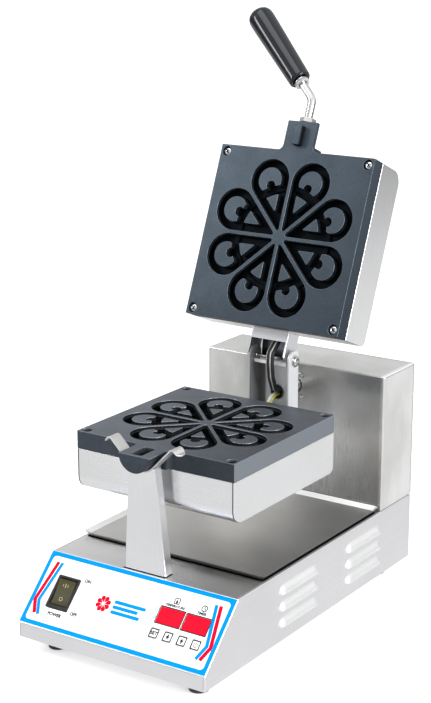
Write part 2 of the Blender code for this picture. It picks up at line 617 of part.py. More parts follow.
def plate_screw(half, index, face, away):
    x, y, corner = SCREWS[index]
    screw = rod_z("%s_screw_%s" % (half, corner), x, y, face + away * 0.0042,
                  face + away * 0.0018, 0.0044, end_radius=0.0034, segments=12, look=CHROME)
    join(screw, rod_z("%s_shank_%d" % (half, index), x, y, face + away * 0.0035,
                      face + away * 0.0240, 0.0020, segments=8))


plates, covers = {}, {}
for half, face, away in (("lower", AXIS_Z, -1), ("upper", UPPER_FACE, 1)):
    back = face + away * PLATE_T
    plates[half] = mould_plate(half + "_plate", face, away)
    covers[half] = sheet_cover(half + "_cover", back + away * GAP, away)
    heater(half + "_heater", back + away * 0.0042)
    rod_y(half + "_probe", -0.0195, back + away * 0.0033, -0.020, 0.030, 0.0027, segments=10,
          look=CHROME)
    for i in range(len(SCREWS)):
        plate_screw(half, i, face, away)

# a key on the upper lug drops into a pocket in the lower one; the handle rod enters the upper
ROD_Z = UPPER_FACE + 0.0100
ROD_HOLE_R = 0.0053
cut(plates["lower"], box("key_pocket", (-0.0072, 0.0072), (-0.1725, -0.1455),
                         (AXIS_Z - 0.0060, AXIS_Z + 0.01)))
join(plates["upper"], box("guide_key", (-0.0063, 0.0063), (-0.1715, -0.1465),
                          (UPPER_FACE - 0.0048, UPPER_FACE + 0.004)))
cut(plates["upper"], rod_y("rod_hole", 0, ROD_Z, LUG_FRONT - 0.01, LUG_FRONT + 0.0145, ROD_HOLE_R,
                           segments=16))

# wire holes in the hinge ends of the covers
ENTRY_X, ENTRY_Z = -0.006, 0.203     # where the wires enter the lower cover
cut(covers["lower"], rod_y("wire_entry", ENTRY_X, ENTRY_Z, 0.055, 0.080, 0.0070, segments=12))
cut(covers["upper"], rod_y("cable_entry", 0.0066, UPPER_FACE + 0.0400, 0.055, 0.080, 0.0070,
                           segments=12))

# ------------------------------------------------------------------ channel upright on the shaft
BRACKET_T = 0.002                    # sheet of the channel and of the hinge bracket
BEHIND_PLATE = PLATE_REAR + GAP      # front faces of the channel's foot and the hinge bracket
WIRE_X, WIRE_Z = 0.0035, AXIS_Z + 0.0015     # wire hole in the channel's web
PIN_R, PIN_HOLE_R = 0.0035, 0.0038
web = CHANNEL_REAR - BRACKET_T       # front face of the web
foot_inner = BEHIND_PLATE + BRACKET_T
# side view: y, z, corner radius
side_view = rounded([(CHANNEL_REAR, 0.1790, 0), (CHANNEL_REAR, 0.2960, 0.0080),
                     (CHANNEL_FRONT, 0.2960, 0.0080), (CHANNEL_FRONT, 0.2240, 0),
                     (BEHIND_PLATE, 0.2120, 0), (BEHIND_PLATE, 0.1790, 0)], 4)
channel = outline("channel_bracket", side_view, CHANNEL_LEFT, CHANNEL_RIGHT, IN_YZ, STEEL)
cut(channel, outline("channel_hollow", [(0.0, 0.32), (0.0, 0.2125), (foot_inner, 0.2125),
                                        (foot_inner, 0.15), (web, 0.15), (web, 0.2765),
                                        (CHANNEL_REAR + 0.005, 0.2765),
                                        (CHANNEL_REAR + 0.005, 0.32)],
                     CHANNEL_LEFT + BRACKET_T, CHANNEL_RIGHT - BRACKET_T, IN_YZ),
    rod_y("channel_wire_hole", WIRE_X, WIRE_Z, 0.10, 0.12, 0.0080, segments=20),
    hinge_rod("channel_pin_hole", -0.05, 0.05, PIN_HOLE_R),
    rod_y("foot_wire_hole", ENTRY_X, ENTRY_Z, 0.055, 0.080, 0.0072, segments=12))

GROMMET_FRONT = CHANNEL_REAR - 0.0036
grommet = rod_y("cable_grommet", WIRE_X, WIRE_Z, GROMMET_FRONT, CHANNEL_REAR - 0.0003, 0.0076,
                segments=20, look=RUBBER)
join(grommet, rod_y("grommet_lip", WIRE_X, WIRE_Z, GROMMET_FRONT, CHANNEL_REAR - 0.0023, 0.0090,
                    segments=20))
cut(grommet, rod_y("grommet_bore", WIRE_X, WIRE_Z, 0.10, 0.12, 0.0068, segments=16))

pin = hinge_rod("hinge_pin", -0.0330, 0.0330, PIN_R, look=CHROME)
join(pin, hinge_rod("hinge_pin_head", CHANNEL_RIGHT + GAP, CHANNEL_RIGHT + 0.0038, 0.0066,
                    end_radius=0.0052))
hinge_nut = hinge_rod("hinge_nut", -0.0310, -0.0258, 0.0066, segments=6, look=ZINC)
cut(hinge_nut, hinge_rod("hinge_nut_bore", -0.05, -0.02, PIN_HOLE_R))
spacer = hinge_rod("hinge_spacer", 0.0258, CHANNEL_RIGHT - 0.0023, 0.0056, look=ZINC)
cut(spacer, hinge_rod("hinge_spacer_bore", 0.02, 0.04, PIN_HOLE_R))

# wires from the shaft down into the lower cover
tube("lower_wires", bend([(WIRE_X - 0.0014, CHANNEL_REAR + 0.0002, WIRE_Z - 0.0032),
                          (WIRE_X - 0.0014, 0.0985, WIRE_Z - 0.0038),
                          (ENTRY_X, 0.0850, 0.2090), (ENTRY_X, 0.0640, ENTRY_Z),
                          (ENTRY_X, 0.0500, ENTRY_Z)], 0.0060, 3), 0.0030, WHITE, 2)

# cable from the shaft up into the lid, laid out with the lid open
tube("lid_cable", bend([(WIRE_X + 0.0018, CHANNEL_REAR + 0.0002, WIRE_Z + 0.0030),
                        (WIRE_X + 0.0018, 0.0985, WIRE_Z + 0.0034),
                        (0.0056, 0.0900, 0.2620), (0.0066, 0.0862, 0.2800),
                        (0.0066, 0.0872, 0.2920), (0.0066, 0.1040, 0.3055),
                        (0.0066, 0.1062, 0.3120)], 0.0060, 3), 0.0028, BLACK, 2)

# ------------------------------------------------------------------ lid hinge bracket
# behind the plate's hinge end, closed position: web parallel to the plate face, two ears that
# reach back round the hinge pin, and a stop strip across their tips
BRACKET_LOW, BRACKET_TOP = UPPER_FACE + 0.0278, UPPER_FACE + 0.0525
BRACKET_HALF_W = 0.0255
heel = Vector((BEHIND_PLATE + 0.0305, BRACKET_LOW))
toe = Vector((HINGE_Y + 0.0058, HINGE_Z - 0.0042))
ear = rounded([(BEHIND_PLATE, BRACKET_LOW, 0), (*heel, 0.003), (*toe, 0.002),
               (HINGE_Y + 0.0070, HINGE_Z + 0.0040, 0.003),
               (HINGE_Y + 0.0010, BRACKET_TOP, 0.004), (BEHIND_PLATE, BRACKET_TOP, 0)], 3)
bracket = outline("hinge_bracket", ear, -BRACKET_HALF_W, BRACKET_HALF_W, IN_YZ, STEEL)
along = (toe - heel).normalized()
across = Vector((-along.y, along.x))
strip_edge = toe - along * 0.0042
strip_inner = strip_edge + across * 0.0016
web_rear = BEHIND_PLATE + 0.0125
inside = [(BEHIND_PLATE - 0.01, BRACKET_LOW + BRACKET_T), (web_rear, BRACKET_LOW + BRACKET_T),
          (web_rear, BRACKET_LOW - 0.01), (BEHIND_PLATE + 0.0420, BRACKET_LOW - 0.01),
          strip_edge - across * 0.003, strip_inner, strip_inner + along * 0.02,
          (HINGE_Y + 0.02, BRACKET_TOP + 0.02), (BEHIND_PLATE - 0.01, BRACKET_TOP + 0.02)]
cut(bracket, outline("bracket_hollow", inside, -BRACKET_HALF_W + BRACKET_T,
                     BRACKET_HALF_W - BRACKET_T, IN_YZ),
    hinge_rod("bracket_pin_hole", -0.05, 0.05, PIN_HOLE_R),
    box("bracket_relief", (CHANNEL_LEFT - 0.0002, CHANNEL_LEFT + 0.0024),
        (HINGE_Y - 0.0150, HINGE_Y + 0.0200), (HINGE_Z - 0.0150, HINGE_Z + 0.0140)))

# ------------------------------------------------------------------ handle
# the rod leaves the upper lug, bends 45 degrees to the left and carries the grip
ROD_BEND = Vector((0, PLATE_REAR - 0.2747, ROD_Z))
grip_way = Vector((-DIAGONAL, -DIAGONAL, 0))
tube("handle_rod", bend([(0, LUG_FRONT + 0.0140, ROD_Z), ROD_BEND, ROD_BEND + grip_way * 0.0600],
                        0.0140, 6), 0.0050, CHROME, 3)
lug_nut = rod_y("lug_nut", 0, ROD_Z, LUG_FRONT - GAP, LUG_FRONT - 0.0062, 0.0098, segments=6,
                look=ZINC, turn=math.radians(30))
cut(lug_nut, rod_y("lug_nut_bore", 0, ROD_Z, LUG_FRONT + 0.01, LUG_FRONT - 0.02, ROD_HOLE_R,
                   segments=16))
grip_nut = rod("grip_nut", ROD_BEND + grip_way * 0.0240, ROD_BEND + grip_way * 0.0305, 0.0090,
               segments=6, look=ZINC)
cut(grip_nut, rod("grip_nut_bore", ROD_BEND + grip_way * 0.01, ROD_BEND + grip_way * 0.04,
                  ROD_HOLE_R, segments=16))

# grip: a turned taper with a rounded far end and a bore for the rod
# profile: radius, distance from the rod's bend
GRIP = ((0.0, 0.1450), (0.0060, 0.1444), (0.0115, 0.1424), (0.0145, 0.1385), (0.0157, 0.1330),
        (0.0155, 0.1200), (0.0146, 0.0800), (0.0137, 0.0360), (0.0133, 0.0325), (0.0122, 0.0310),
        (0.0062, 0.0310), (0.0062, 0.0600), (0.0055, 0.0615), (0.0, 0.0615))
grip_mesh = bpy.data.meshes.new("handle_grip")
bm = bmesh.new()
verts = [bm.verts.new((radius, 0, z)) for radius, z in GRIP]
for pair in zip(verts, verts[1:]):
    bm.edges.new(pair)
bm.to_mesh(grip_mesh)
bm.free()
grip = place("handle_grip", grip_mesh, BLACK)
lathe = grip.modifiers.new("turn", "SCREW")
lathe.axis = "Z"
lathe.steps = 20
lathe.render_steps = 20
lathe.use_merge_vertices = True
lathe.merge_threshold = 0.0001
lathe.use_normal_calculate = False
grip.matrix_world = (Matrix.Translation(ROD_BEND)
                     @ grip_way.to_track_quat("Z", "Y").to_matrix().to_4x4())


# ------------------------------------------------------------------ moving assemblies
def hang(name, location, prefixes):
    """Empty at location that carries every unparented object whose name has a given prefix."""
    axis = bpy.data.objects.new(name, None)
    PARTS.objects.link(axis)
    axis.location = location
    for ob in list(bpy.data.objects):
        if ob.parent is None and ob.name.startswith(prefixes):
            ob.parent = axis
            ob.matrix_parent_inverse = Matrix.Translation(location).inverted()
    return axis


# the lid's pieces and their cutters are modelled closed and swing open with the lid axis
lid = hang("lid_axis", (0, HINGE_Y, HINGE_Z), (
    "upper_plate", "upper_cover", "upper_heater", "upper_probe", "upper_screw_",
    "add_upper_shank", "add_guide_key", "rod_hole", "cable_entry", "handle_rod", "handle_grip",
    "lug_nut", "grip_nut", "hinge_bracket", "bracket_"))
lid.rotation_euler = (-OPEN_ANGLE, 0, 0)

# the carrier turns about the shaft and takes the lid with it
hang("carrier_axis", (0, 0, AXIS_Z), (
    "turn_shaft", "shaft_collar", "channel_bracket", "cable_grommet", "hinge_pin", "hinge_nut",
    "hinge_spacer", "lower_cover", "lower_plate", "lower_heater", "lower_probe", "lower_screw_",
    "lower_wires", "lid_axis", "lid_cable"))

# the grip of the open lid reaches past the back, so the whole machine moves forward
for ob in list(bpy.data.objects):
    if ob.parent is None:
        ob.location.y += SHIFT_Y
bpy.context.view_layer.update()
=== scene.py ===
# Tabletop baker: two hinged plates with eight-petal moulds turn on a shaft above a sheet-steel
# base with a sloping control panel. X points right, -Y to the front (panel, handle), +Z up.
# The lid stands open; its pieces are laid out closed and swung open with LID unless noted.
import json
from math import asin, atan2, cos, degrees, hypot, pi, radians, sin, sqrt, tan
import bpy
import bmesh
from mathutils import Matrix, Vector


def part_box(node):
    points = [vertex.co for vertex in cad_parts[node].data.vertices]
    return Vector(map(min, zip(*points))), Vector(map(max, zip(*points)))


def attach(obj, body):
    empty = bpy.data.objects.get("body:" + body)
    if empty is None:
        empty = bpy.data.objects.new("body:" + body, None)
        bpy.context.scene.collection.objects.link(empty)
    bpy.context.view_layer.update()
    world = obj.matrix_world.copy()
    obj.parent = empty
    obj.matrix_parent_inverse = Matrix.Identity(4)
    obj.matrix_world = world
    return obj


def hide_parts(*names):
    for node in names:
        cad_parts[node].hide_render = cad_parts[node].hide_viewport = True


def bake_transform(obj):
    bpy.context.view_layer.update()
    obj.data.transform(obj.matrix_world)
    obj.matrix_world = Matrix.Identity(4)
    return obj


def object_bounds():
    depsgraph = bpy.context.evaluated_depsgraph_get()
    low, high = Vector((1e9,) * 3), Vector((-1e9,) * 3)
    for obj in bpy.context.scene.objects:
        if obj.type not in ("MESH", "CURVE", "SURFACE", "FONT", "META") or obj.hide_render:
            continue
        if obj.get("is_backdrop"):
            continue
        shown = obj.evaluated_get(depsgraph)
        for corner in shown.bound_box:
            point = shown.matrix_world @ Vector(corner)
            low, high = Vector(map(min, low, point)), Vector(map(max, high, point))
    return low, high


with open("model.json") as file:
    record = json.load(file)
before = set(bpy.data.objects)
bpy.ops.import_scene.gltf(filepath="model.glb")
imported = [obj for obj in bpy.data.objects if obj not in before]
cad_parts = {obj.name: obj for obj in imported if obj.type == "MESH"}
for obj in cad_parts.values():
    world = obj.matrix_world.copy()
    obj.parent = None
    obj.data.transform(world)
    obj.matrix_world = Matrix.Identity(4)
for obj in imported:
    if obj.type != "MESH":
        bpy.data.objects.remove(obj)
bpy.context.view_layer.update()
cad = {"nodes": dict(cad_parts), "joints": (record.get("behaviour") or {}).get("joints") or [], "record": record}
JOINTS = {joint["name"]: joint for joint in cad["joints"]}
scene = bpy.context.scene

# Pieces are laid out in millimetres about the middle of the base, MID in metres;
# piece() scales them to metres and moves them into the frame.
MID = Vector((0, (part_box("chassis")[0].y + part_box("chassis")[1].y) / 2, 0))


def box_mm(node):
    lo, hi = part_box(node)
    return (lo - MID) * 1000.0, (hi - MID) * 1000.0


# ================================================================== driving dimensions
base_lo, base_hi = box_mm("chassis")
HALF_W = box_mm("bottom_plate")[1].x + 1.5
HALF_L = base_hi.y
UNDERSIDE, DECK = base_lo.z, base_hi.z
LIP_TOP = UNDERSIDE + 17.6              # top of the front lip, where the slope starts
SLOPE_END = 63.7 - HALF_L               # y where the slope meets the deck
HOUSING_Y = box_mm("rear_housing")[0].y
HOUSING_TOP = box_mm("rear_housing")[1].z
SHEET = 1.2                             # sheet thickness
AXIS_Z = JOINTS["carrier_turn"]["pos_m"][2] * 1000.0    # turning axis and lower plate's face
HINGE = (Vector(JOINTS["lid_hinge"]["pos_m"]) - MID) * 1000.0
OPEN = radians(JOINTS["lid_hinge"]["range_deg"][1])
LID = Matrix.Translation(HINGE) @ Matrix.Rotation(-OPEN, 4, "X") @ Matrix.Translation(-HINGE)
CLOSE = LID.inverted()
plate_lo, plate_hi = box_mm("lower_plate")
LUG_Y = plate_lo.y                      # front end of the lug
PLATE_HALF, PLATE_Y0, PLATE_Y1 = plate_hi.x, LUG_Y + 35.8, plate_hi.y
PLATE_T = plate_hi.z - plate_lo.z
COVER_DEPTH = 48.5
UPPER_FACE = AXIS_Z + 0.5               # closed face of the upper plate
ROOT_HALF = sqrt(0.5)

# frames: local z is the thickness of an outline or the axis of a turned form
XY = Matrix.Identity(4)
YZX = Matrix(((0, 0, 1, 0), (1, 0, 0, 0), (0, 1, 0, 0), (0, 0, 0, 1)))      # YZ, thick along +X
XZY = Matrix(((1, 0, 0, 0), (0, 0, -1, 0), (0, 1, 0, 0), (0, 0, 0, 1)))     # XZ, thick along -Y
TO_REAR = Matrix.Rotation(-pi / 2, 4, "X")
TO_FRONT = Matrix.Rotation(pi / 2, 4, "X")
TO_RIGHT = Matrix.Rotation(pi / 2, 4, "Y")
along = Vector((0, SLOPE_END + HALF_L, DECK - LIP_TOP)).normalized()
out_of = Vector((1, 0, 0)).cross(along)
# panel slope: x to the right, y up the slope from the lip, z out of it
SLOPE = Matrix(((1, 0, 0, 0), (0, along.y, out_of.y, -HALF_L),
                (0, along.z, out_of.z, LIP_TOP), (0, 0, 0, 1)))
SLOPE_LEN = hypot(SLOPE_END + HALF_L, DECK - LIP_TOP)


def place(x, y, z, turn=XY):
    return Matrix.Translation((x, y, z)) @ turn


# ================================================================== flat outlines
def arc(x, y, radius, start, end, steps):
    angles = [radians(start + (end - start) * i / steps) for i in range(steps + 1)]
    return [(x + radius * cos(a), y + radius * sin(a)) for a in angles]


class Loop(list):
    """Outline that remembers its (x, y, radius) corners, so that it can be offset cleanly."""
    corners = ()
    steps = 6


def rounded(points, steps=6):
    """Polygon with (x, y, radius) corners."""
    out = Loop()
    out.corners = list(points)
    out.steps = steps
    for i, (x, y, radius) in enumerate(points):
        if radius <= 0:
            out.append((x, y))
            continue
        corner = Vector((x, y))
        before = (Vector(points[i - 1][:2]) - corner).normalized()
        after = (Vector(points[(i + 1) % len(points)][:2]) - corner).normalized()
        half = before.angle(after) / 2
        reach = radius / tan(half)
        centre = corner + (before + after).normalized() * (radius / sin(half))
        first = corner + before * reach - centre
        last = corner + after * reach - centre
        start = atan2(first.y, first.x)
        sweep = atan2(first.x * last.y - first.y * last.x, first.dot(last))
        for j in range(steps + 1):
            angle = start + sweep * j / steps
            out.append((centre.x + radius * cos(angle), centre.y + radius * sin(angle)))
    return out


def rrect(x0, x1, y0, y1, radius, steps=6):
    return rounded([(x0, y0, radius), (x1, y0, radius), (x1, y1, radius), (x0, y1, radius)], steps)


def centred(x, y, width, height, radius, grow=0.0, steps=6):
    """Rounded rectangle about (x, y), each side moved out by grow."""
    return rrect(x - width / 2 - grow, x + width / 2 + grow,
                 y - height / 2 - grow, y + height / 2 + grow, radius, steps)


def circle(x, y, radius, steps=32):
    angles = [2 * pi * i / steps for i in range(steps)]
    return [(x + radius * cos(a), y + radius * sin(a)) for a in angles]


def ccw(loop):
    """The loop, turned counter-clockwise if need be."""
    area = sum(loop[i - 1][0] * loop[i][1] - loop[i][0] * loop[i - 1][1] for i in range(len(loop)))
    if isinstance(loop, Loop):
        return loop if area > 0 else rounded(loop.corners[::-1], loop.steps)
    return list(loop) if area > 0 else list(loop)[::-1]


def left_normal(start, end):
    edge = (end - start).normalized()
    return Vector((-edge.y, edge.x))


def offset(loop, inset):
    """Counter-clockwise loop moved inwards (outwards when negative)."""
    if abs(inset) < 1e-9:
        return [tuple(point) for point in loop]
    if not isinstance(loop, Loop):
        loop = rounded([(x, y, 0) for x, y in loop])
    corners = loop.corners
    out = []
    for i, (x, y, radius) in enumerate(corners):
        here = Vector((x, y))
        normal = left_normal(Vector(corners[i - 1][:2]), here)
        following = left_normal(here, Vector(corners[(i + 1) % len(corners)][:2]))
        middle = normal + following
        middle = normal if middle.length < 1e-6 else middle.normalized()
        moved_to = here + middle * (inset / max(middle.dot(normal), 0.4))
        if radius > 0:
            convex = normal.x * following.y - normal.y * following.x > 0
            radius = max(radius - inset if convex else radius + inset, 0.01)
        out.append((moved_to.x, moved_to.y, radius))
    return rounded(out, loop.steps)


def turned(points, index, centre_x, centre_y):
    """Outline pointing along +x, turned to petal number index of eight."""
    angle = radians(22.5 + 45 * index)
    c, s = cos(angle), sin(angle)
    return ccw([(centre_x + x * c - y * s, centre_y + x * s + y * c) for x, y in points])


def u_section(half, depth, sheet, radius, steps=6):
    """U open towards +y with rounded outside corners; same point count for any width."""
    inner = max(radius - sheet, 0.3)
    low = sheet + inner
    outside = [(half, depth)] + arc(half - radius, radius, radius, 0, -90, steps)
    outside += arc(-half + radius, radius, radius, -90, -180, steps) + [(-half, depth)]
    inside = [(-half + sheet, depth)] + arc(-half + sheet + inner, low, inner, 180, 270, steps)
    inside += arc(half - sheet - inner, low, inner, 270, 360, steps) + [(half - sheet, depth)]
    return outside + inside


# ================================================================== solids
new = bmesh.new


def ring(mesh, loop, z, frame=XY):
    return [mesh.verts.new(frame @ Vector((x, y, z))) for x, y in loop]


def bridge(mesh, row, other, closed=True):
    count = len(row)
    for i in range(count if closed else count - 1):
        j = (i + 1) % count
        mesh.faces.new((row[i], row[j], other[j], other[i]))


def skin(mesh, rows, closed=True):
    for row, other in zip(rows, rows[1:]):
        bridge(mesh, row, other, closed)


def fill(mesh, rings):
    if len(rings) == 1 and len(rings[0]) <= 4:
        mesh.faces.new(rings[0])
        return
    edges = []
    for loop in rings:
        for i in range(len(loop)):
            pair = (loop[i - 1], loop[i])
            edges.append(mesh.edges.get(pair) or mesh.edges.new(pair))
    bmesh.ops.triangle_fill(mesh, use_beauty=True, use_dissolve=False, edges=edges)


def capped(mesh, rows):
    """Skins the rows into a tube and fills both ends."""
    skin(mesh, rows)
    fill(mesh, [rows[0]])
    fill(mesh, [rows[-1]])
    return mesh


def lift(mesh, loop, profile, frame=XY, cap_first=False, cap_last=False):
    """Rings of one loop at the (inset, height) pairs of a profile, skinned together."""
    loop = ccw(loop)
    rings = [ring(mesh, offset(loop, inset), z, frame) for inset, z in profile]
    skin(mesh, rings)
    if cap_first:
        fill(mesh, [rings[0]])
    if cap_last:
        fill(mesh, [rings[-1]])
    return rings[0], rings[-1]


def soft_profile(lo, hi, rim, steps, sign=1):
    if rim <= 0:
        return [(0, hi), (0, lo)]
    angles = [k / steps * pi / 2 for k in range(steps + 1)]
    top = [(sign * rim * (1 - sin(a)), hi - rim * (1 - cos(a))) for a in angles]
    return top + [(inset, lo + hi - z) for inset, z in top[::-1]]


def prism(loops, lo, hi, frame=XY, rim=0.4, steps=3, hole_rim=None, into=None):
    """Closed solid from a flat outline with holes; its rims are rounded."""
    mesh = into or new()
    ends = []
    for i, loop in enumerate(loops):
        radius = rim if i == 0 or hole_rim is None else hole_rim
        profile = soft_profile(lo, hi, radius, steps, 1 if i == 0 else -1)
        ends.append(lift(mesh, loop, profile, frame))
    for rings in zip(*ends):
        fill(mesh, rings)
    return mesh


def box(x0, x1, y0, y1, z0, z1, into=None):
    return prism([[(x0, y0), (x1, y0), (x1, y1), (x0, y1)]], z0, z1, XY, 0, into=into)


def folded(loop, half, rim, groove=0.28, gap=0.5, wide=0.9):
    """Folded box form across X, rounded ends and a fine seam groove beside each end."""
    profile = soft_profile(-half, half, rim, 4)[:5]
    z = half - rim - gap
    profile += [(0, z), (groove, z - 0.10), (groove, z - wide + 0.10), (0, z - wide)]
    profile += [(inset, -half + half - z) for inset, z in profile[::-1]]
    mesh = new()
    lift(mesh, loop, profile, YZX, True, True)
    return mesh


def lathe(profile, frame=XY, steps=48, into=None, shape=None):
    """(radius, z) profile turned about z; shape(radius, z, angle) may alter the radius."""
    mesh = into or new()
    rings = []
    for radius, z in profile:
        if abs(radius) < 1e-6:
            rings.append([mesh.verts.new(frame @ Vector((0, 0, z)))])
            continue
        row = []
        for i in range(steps):
            angle = 2 * pi * i / steps
            reach = shape(radius, z, angle) if shape else radius
            row.append(mesh.verts.new(frame @ Vector((reach * cos(angle), reach * sin(angle), z))))
        rings.append(row)
    pairs = list(zip(rings, rings[1:]))
    if abs(profile[0][0]) > 1e-6:
        pairs.append((rings[-1], rings[0]))
    for row, other in pairs:
        for i in range(steps):
            j = (i + 1) % steps
            if len(row) == 1:
                mesh.faces.new((row[0], other[j], other[i]))
            elif len(other) == 1:
                mesh.faces.new((row[i], row[j], other[0]))
            else:
                mesh.faces.new((row[i], row[j], other[j], other[i]))
    return mesh


def cylinder(radius, start, end, frame, steps=32):
    return lathe([(0, start), (radius, start), (radius, end), (0, end)], frame, steps)


def axis_frame(start, end):
    start, end = Vector(start), Vector(end)
    turn = (end - start).to_track_quat("Z", "Y").to_matrix().to_4x4()
    return Matrix.Translation(start) @ turn


# ================================================================== paths
def bend(points, radius, steps=8):
    """Polyline with its corners rounded."""
    points = [Vector(point) for point in points]
    out = [points[0]]
    for before, corner, after in zip(points, points[1:], points[2:]):
        back, ahead = (before - corner).normalized(), (after - corner).normalized()
        half = back.angle(ahead) / 2
        if half > pi / 2 - 0.01:
            out.append(corner)
            continue
        reach = radius / tan(half)
        centre = corner + (back + ahead).normalized() * (radius / sin(half))
        first, last = corner + back * reach - centre, corner + ahead * reach - centre
        sweep = first.angle(last)
        for j in range(steps + 1):
            t = j / steps
            spoke = first * sin((1 - t) * sweep) + last * sin(t * sweep)
            out.append(centre + spoke / sin(sweep))
    out.append(points[-1])
    return out


def lengths(path):
    """Run length at each point."""
    out = [0.0]
    for start, end in zip(path, path[1:]):
        out.append(out[-1] + (end - start).length)
    return out


def resample(path, step):
    runs = lengths(path)
    count = max(2, int(round(runs[-1] / step)))
    out = []
    k = 0
    for i in range(count + 1):
        run = runs[-1] * i / count
        while k < len(runs) - 2 and runs[k + 1] < run:
            k += 1
        t = (run - runs[k]) / max(runs[k + 1] - runs[k], 1e-9)
        out.append(path[k].lerp(path[k + 1], min(max(t, 0), 1)))
    return out


def tangents(path):
    last = len(path) - 1
    return [(path[min(i + 1, last)] - path[max(i - 1, 0)]).normalized() for i in range(last + 1)]


def tube(path, radius, steps, relief=None):
    """Round rope along a path; relief(angle, run) is added to its radius."""
    mesh = new()
    rows = []
    side = None
    for point, tangent, run in zip(path, tangents(path), lengths(path)):
        side = side or tangent.orthogonal().normalized()
        side = (side - tangent * side.dot(tangent)).normalized()
        other = tangent.cross(side)
        row = []
        for k in range(steps):
            angle = 2 * pi * k / steps
            reach = radius + (relief(angle, run) if relief else 0.0)
            row.append(mesh.verts.new(point + (side * cos(angle) + other * sin(angle)) * reach))
        rows.append(row)
    skin(mesh, rows)
    mesh.faces.new(rows[0])
    mesh.faces.new(rows[-1][::-1])
    return mesh


def strand(core, across, up, twist):
    """Path beside a core, turning about it by twist radians per point."""
    out = []
    for j, (point, tangent) in enumerate(zip(core, tangents(core))):
        side = (Vector((1, 0, 0)) - tangent * tangent.x).normalized()
        c, s = cos(twist * j), sin(twist * j)
        out.append(point + side * (across * c - up * s)
                   + tangent.cross(side) * (across * s + up * c))
    return out


# ================================================================== booleans and finished pieces
def temporary(mesh):
    bmesh.ops.remove_doubles(mesh, verts=mesh.verts[:], dist=1e-5)
    bmesh.ops.recalc_face_normals(mesh, faces=mesh.faces[:])
    data = bpy.data.meshes.new("tmp")
    mesh.to_mesh(data)
    mesh.free()
    ob = bpy.data.objects.new("tmp", data)
    scene.collection.objects.link(ob)
    return ob


def boolean(mesh, operation, *tools, bevel=0.0):
    """Booleans (and an optional edge bevel) applied straight to mesh data."""
    base = temporary(mesh)
    others = [temporary(tool) for tool in tools]
    for other in others:
        step = base.modifiers.new("b", "BOOLEAN")
        step.operation, step.solver, step.object = operation, "EXACT", other
    if bevel:
        step = base.modifiers.new("e", "BEVEL")
        step.width, step.segments = bevel, 2
        step.limit_method, step.angle_limit = "ANGLE", radians(32)
        step.use_clamp_overlap = True
    bpy.context.view_layer.update()
    graph = bpy.context.evaluated_depsgraph_get()
    data = bpy.data.meshes.new_from_object(base.evaluated_get(graph))
    out = new()
    out.from_mesh(data)
    bpy.data.meshes.remove(data)
    for ob in [base] + others:
        data = ob.data
        bpy.data.objects.remove(ob, do_unlink=True)
        bpy.data.meshes.remove(data)
    return out


def cut(mesh, *tools, bevel=0.0):
    return boolean(mesh, "DIFFERENCE", *tools, bevel=bevel)


def join(mesh, *tools):
    return boolean(mesh, "UNION", *tools)


def moved(mesh, frame):
    bmesh.ops.transform(mesh, matrix=frame, verts=mesh.verts[:])
    return mesh


def piece(name, mesh, look, body, stands=None, angle=38, weighted=True):
    """Object from a mesh: its look, the body it rides on, the CAD node it stands for."""
    bmesh.ops.remove_doubles(mesh, verts=mesh.verts[:], dist=1e-4)
    bmesh.ops.dissolve_degenerate(mesh, edges=mesh.edges[:], dist=1e-5)
    loose = [vert for vert in mesh.verts if not vert.link_faces]
    bmesh.ops.delete(mesh, geom=loose, context="VERTS")
    bmesh.ops.recalc_face_normals(mesh, faces=mesh.faces[:])
    bmesh.ops.scale(mesh, vec=(0.001,) * 3, verts=mesh.verts[:])
    bmesh.ops.translate(mesh, vec=MID, verts=mesh.verts[:])
    data = bpy.data.meshes.new(name)
    mesh.to_mesh(data)
    mesh.free()
    data.shade_smooth()
    data.set_sharp_from_angle(angle=radians(angle))
    ob = bpy.data.objects.new(name, data)
    scene.collection.objects.link(ob)
    data.materials.append(look)
    if weighted:
        normals = ob.modifiers.new("normals", "WEIGHTED_NORMAL")
        normals.keep_sharp = True
        normals.weight = 50
    if body:
        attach(ob, body)
    if stands:
        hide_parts(stands)
    return ob


def repaint(ob, look, where):
    """Second material on the faces for which where(centre in mm, normal) is true."""
    ob.data.materials.append(look)
    index = len(ob.data.materials) - 1
    for face in ob.data.polygons:
        if where((face.center - MID) * 1000.0, face.normal):
            face.material_index = index


# ================================================================== material nodes
def scaled(tone, factor, lighten=0.0):
    return tuple(min(c * factor + lighten, 1.0) for c in tone)


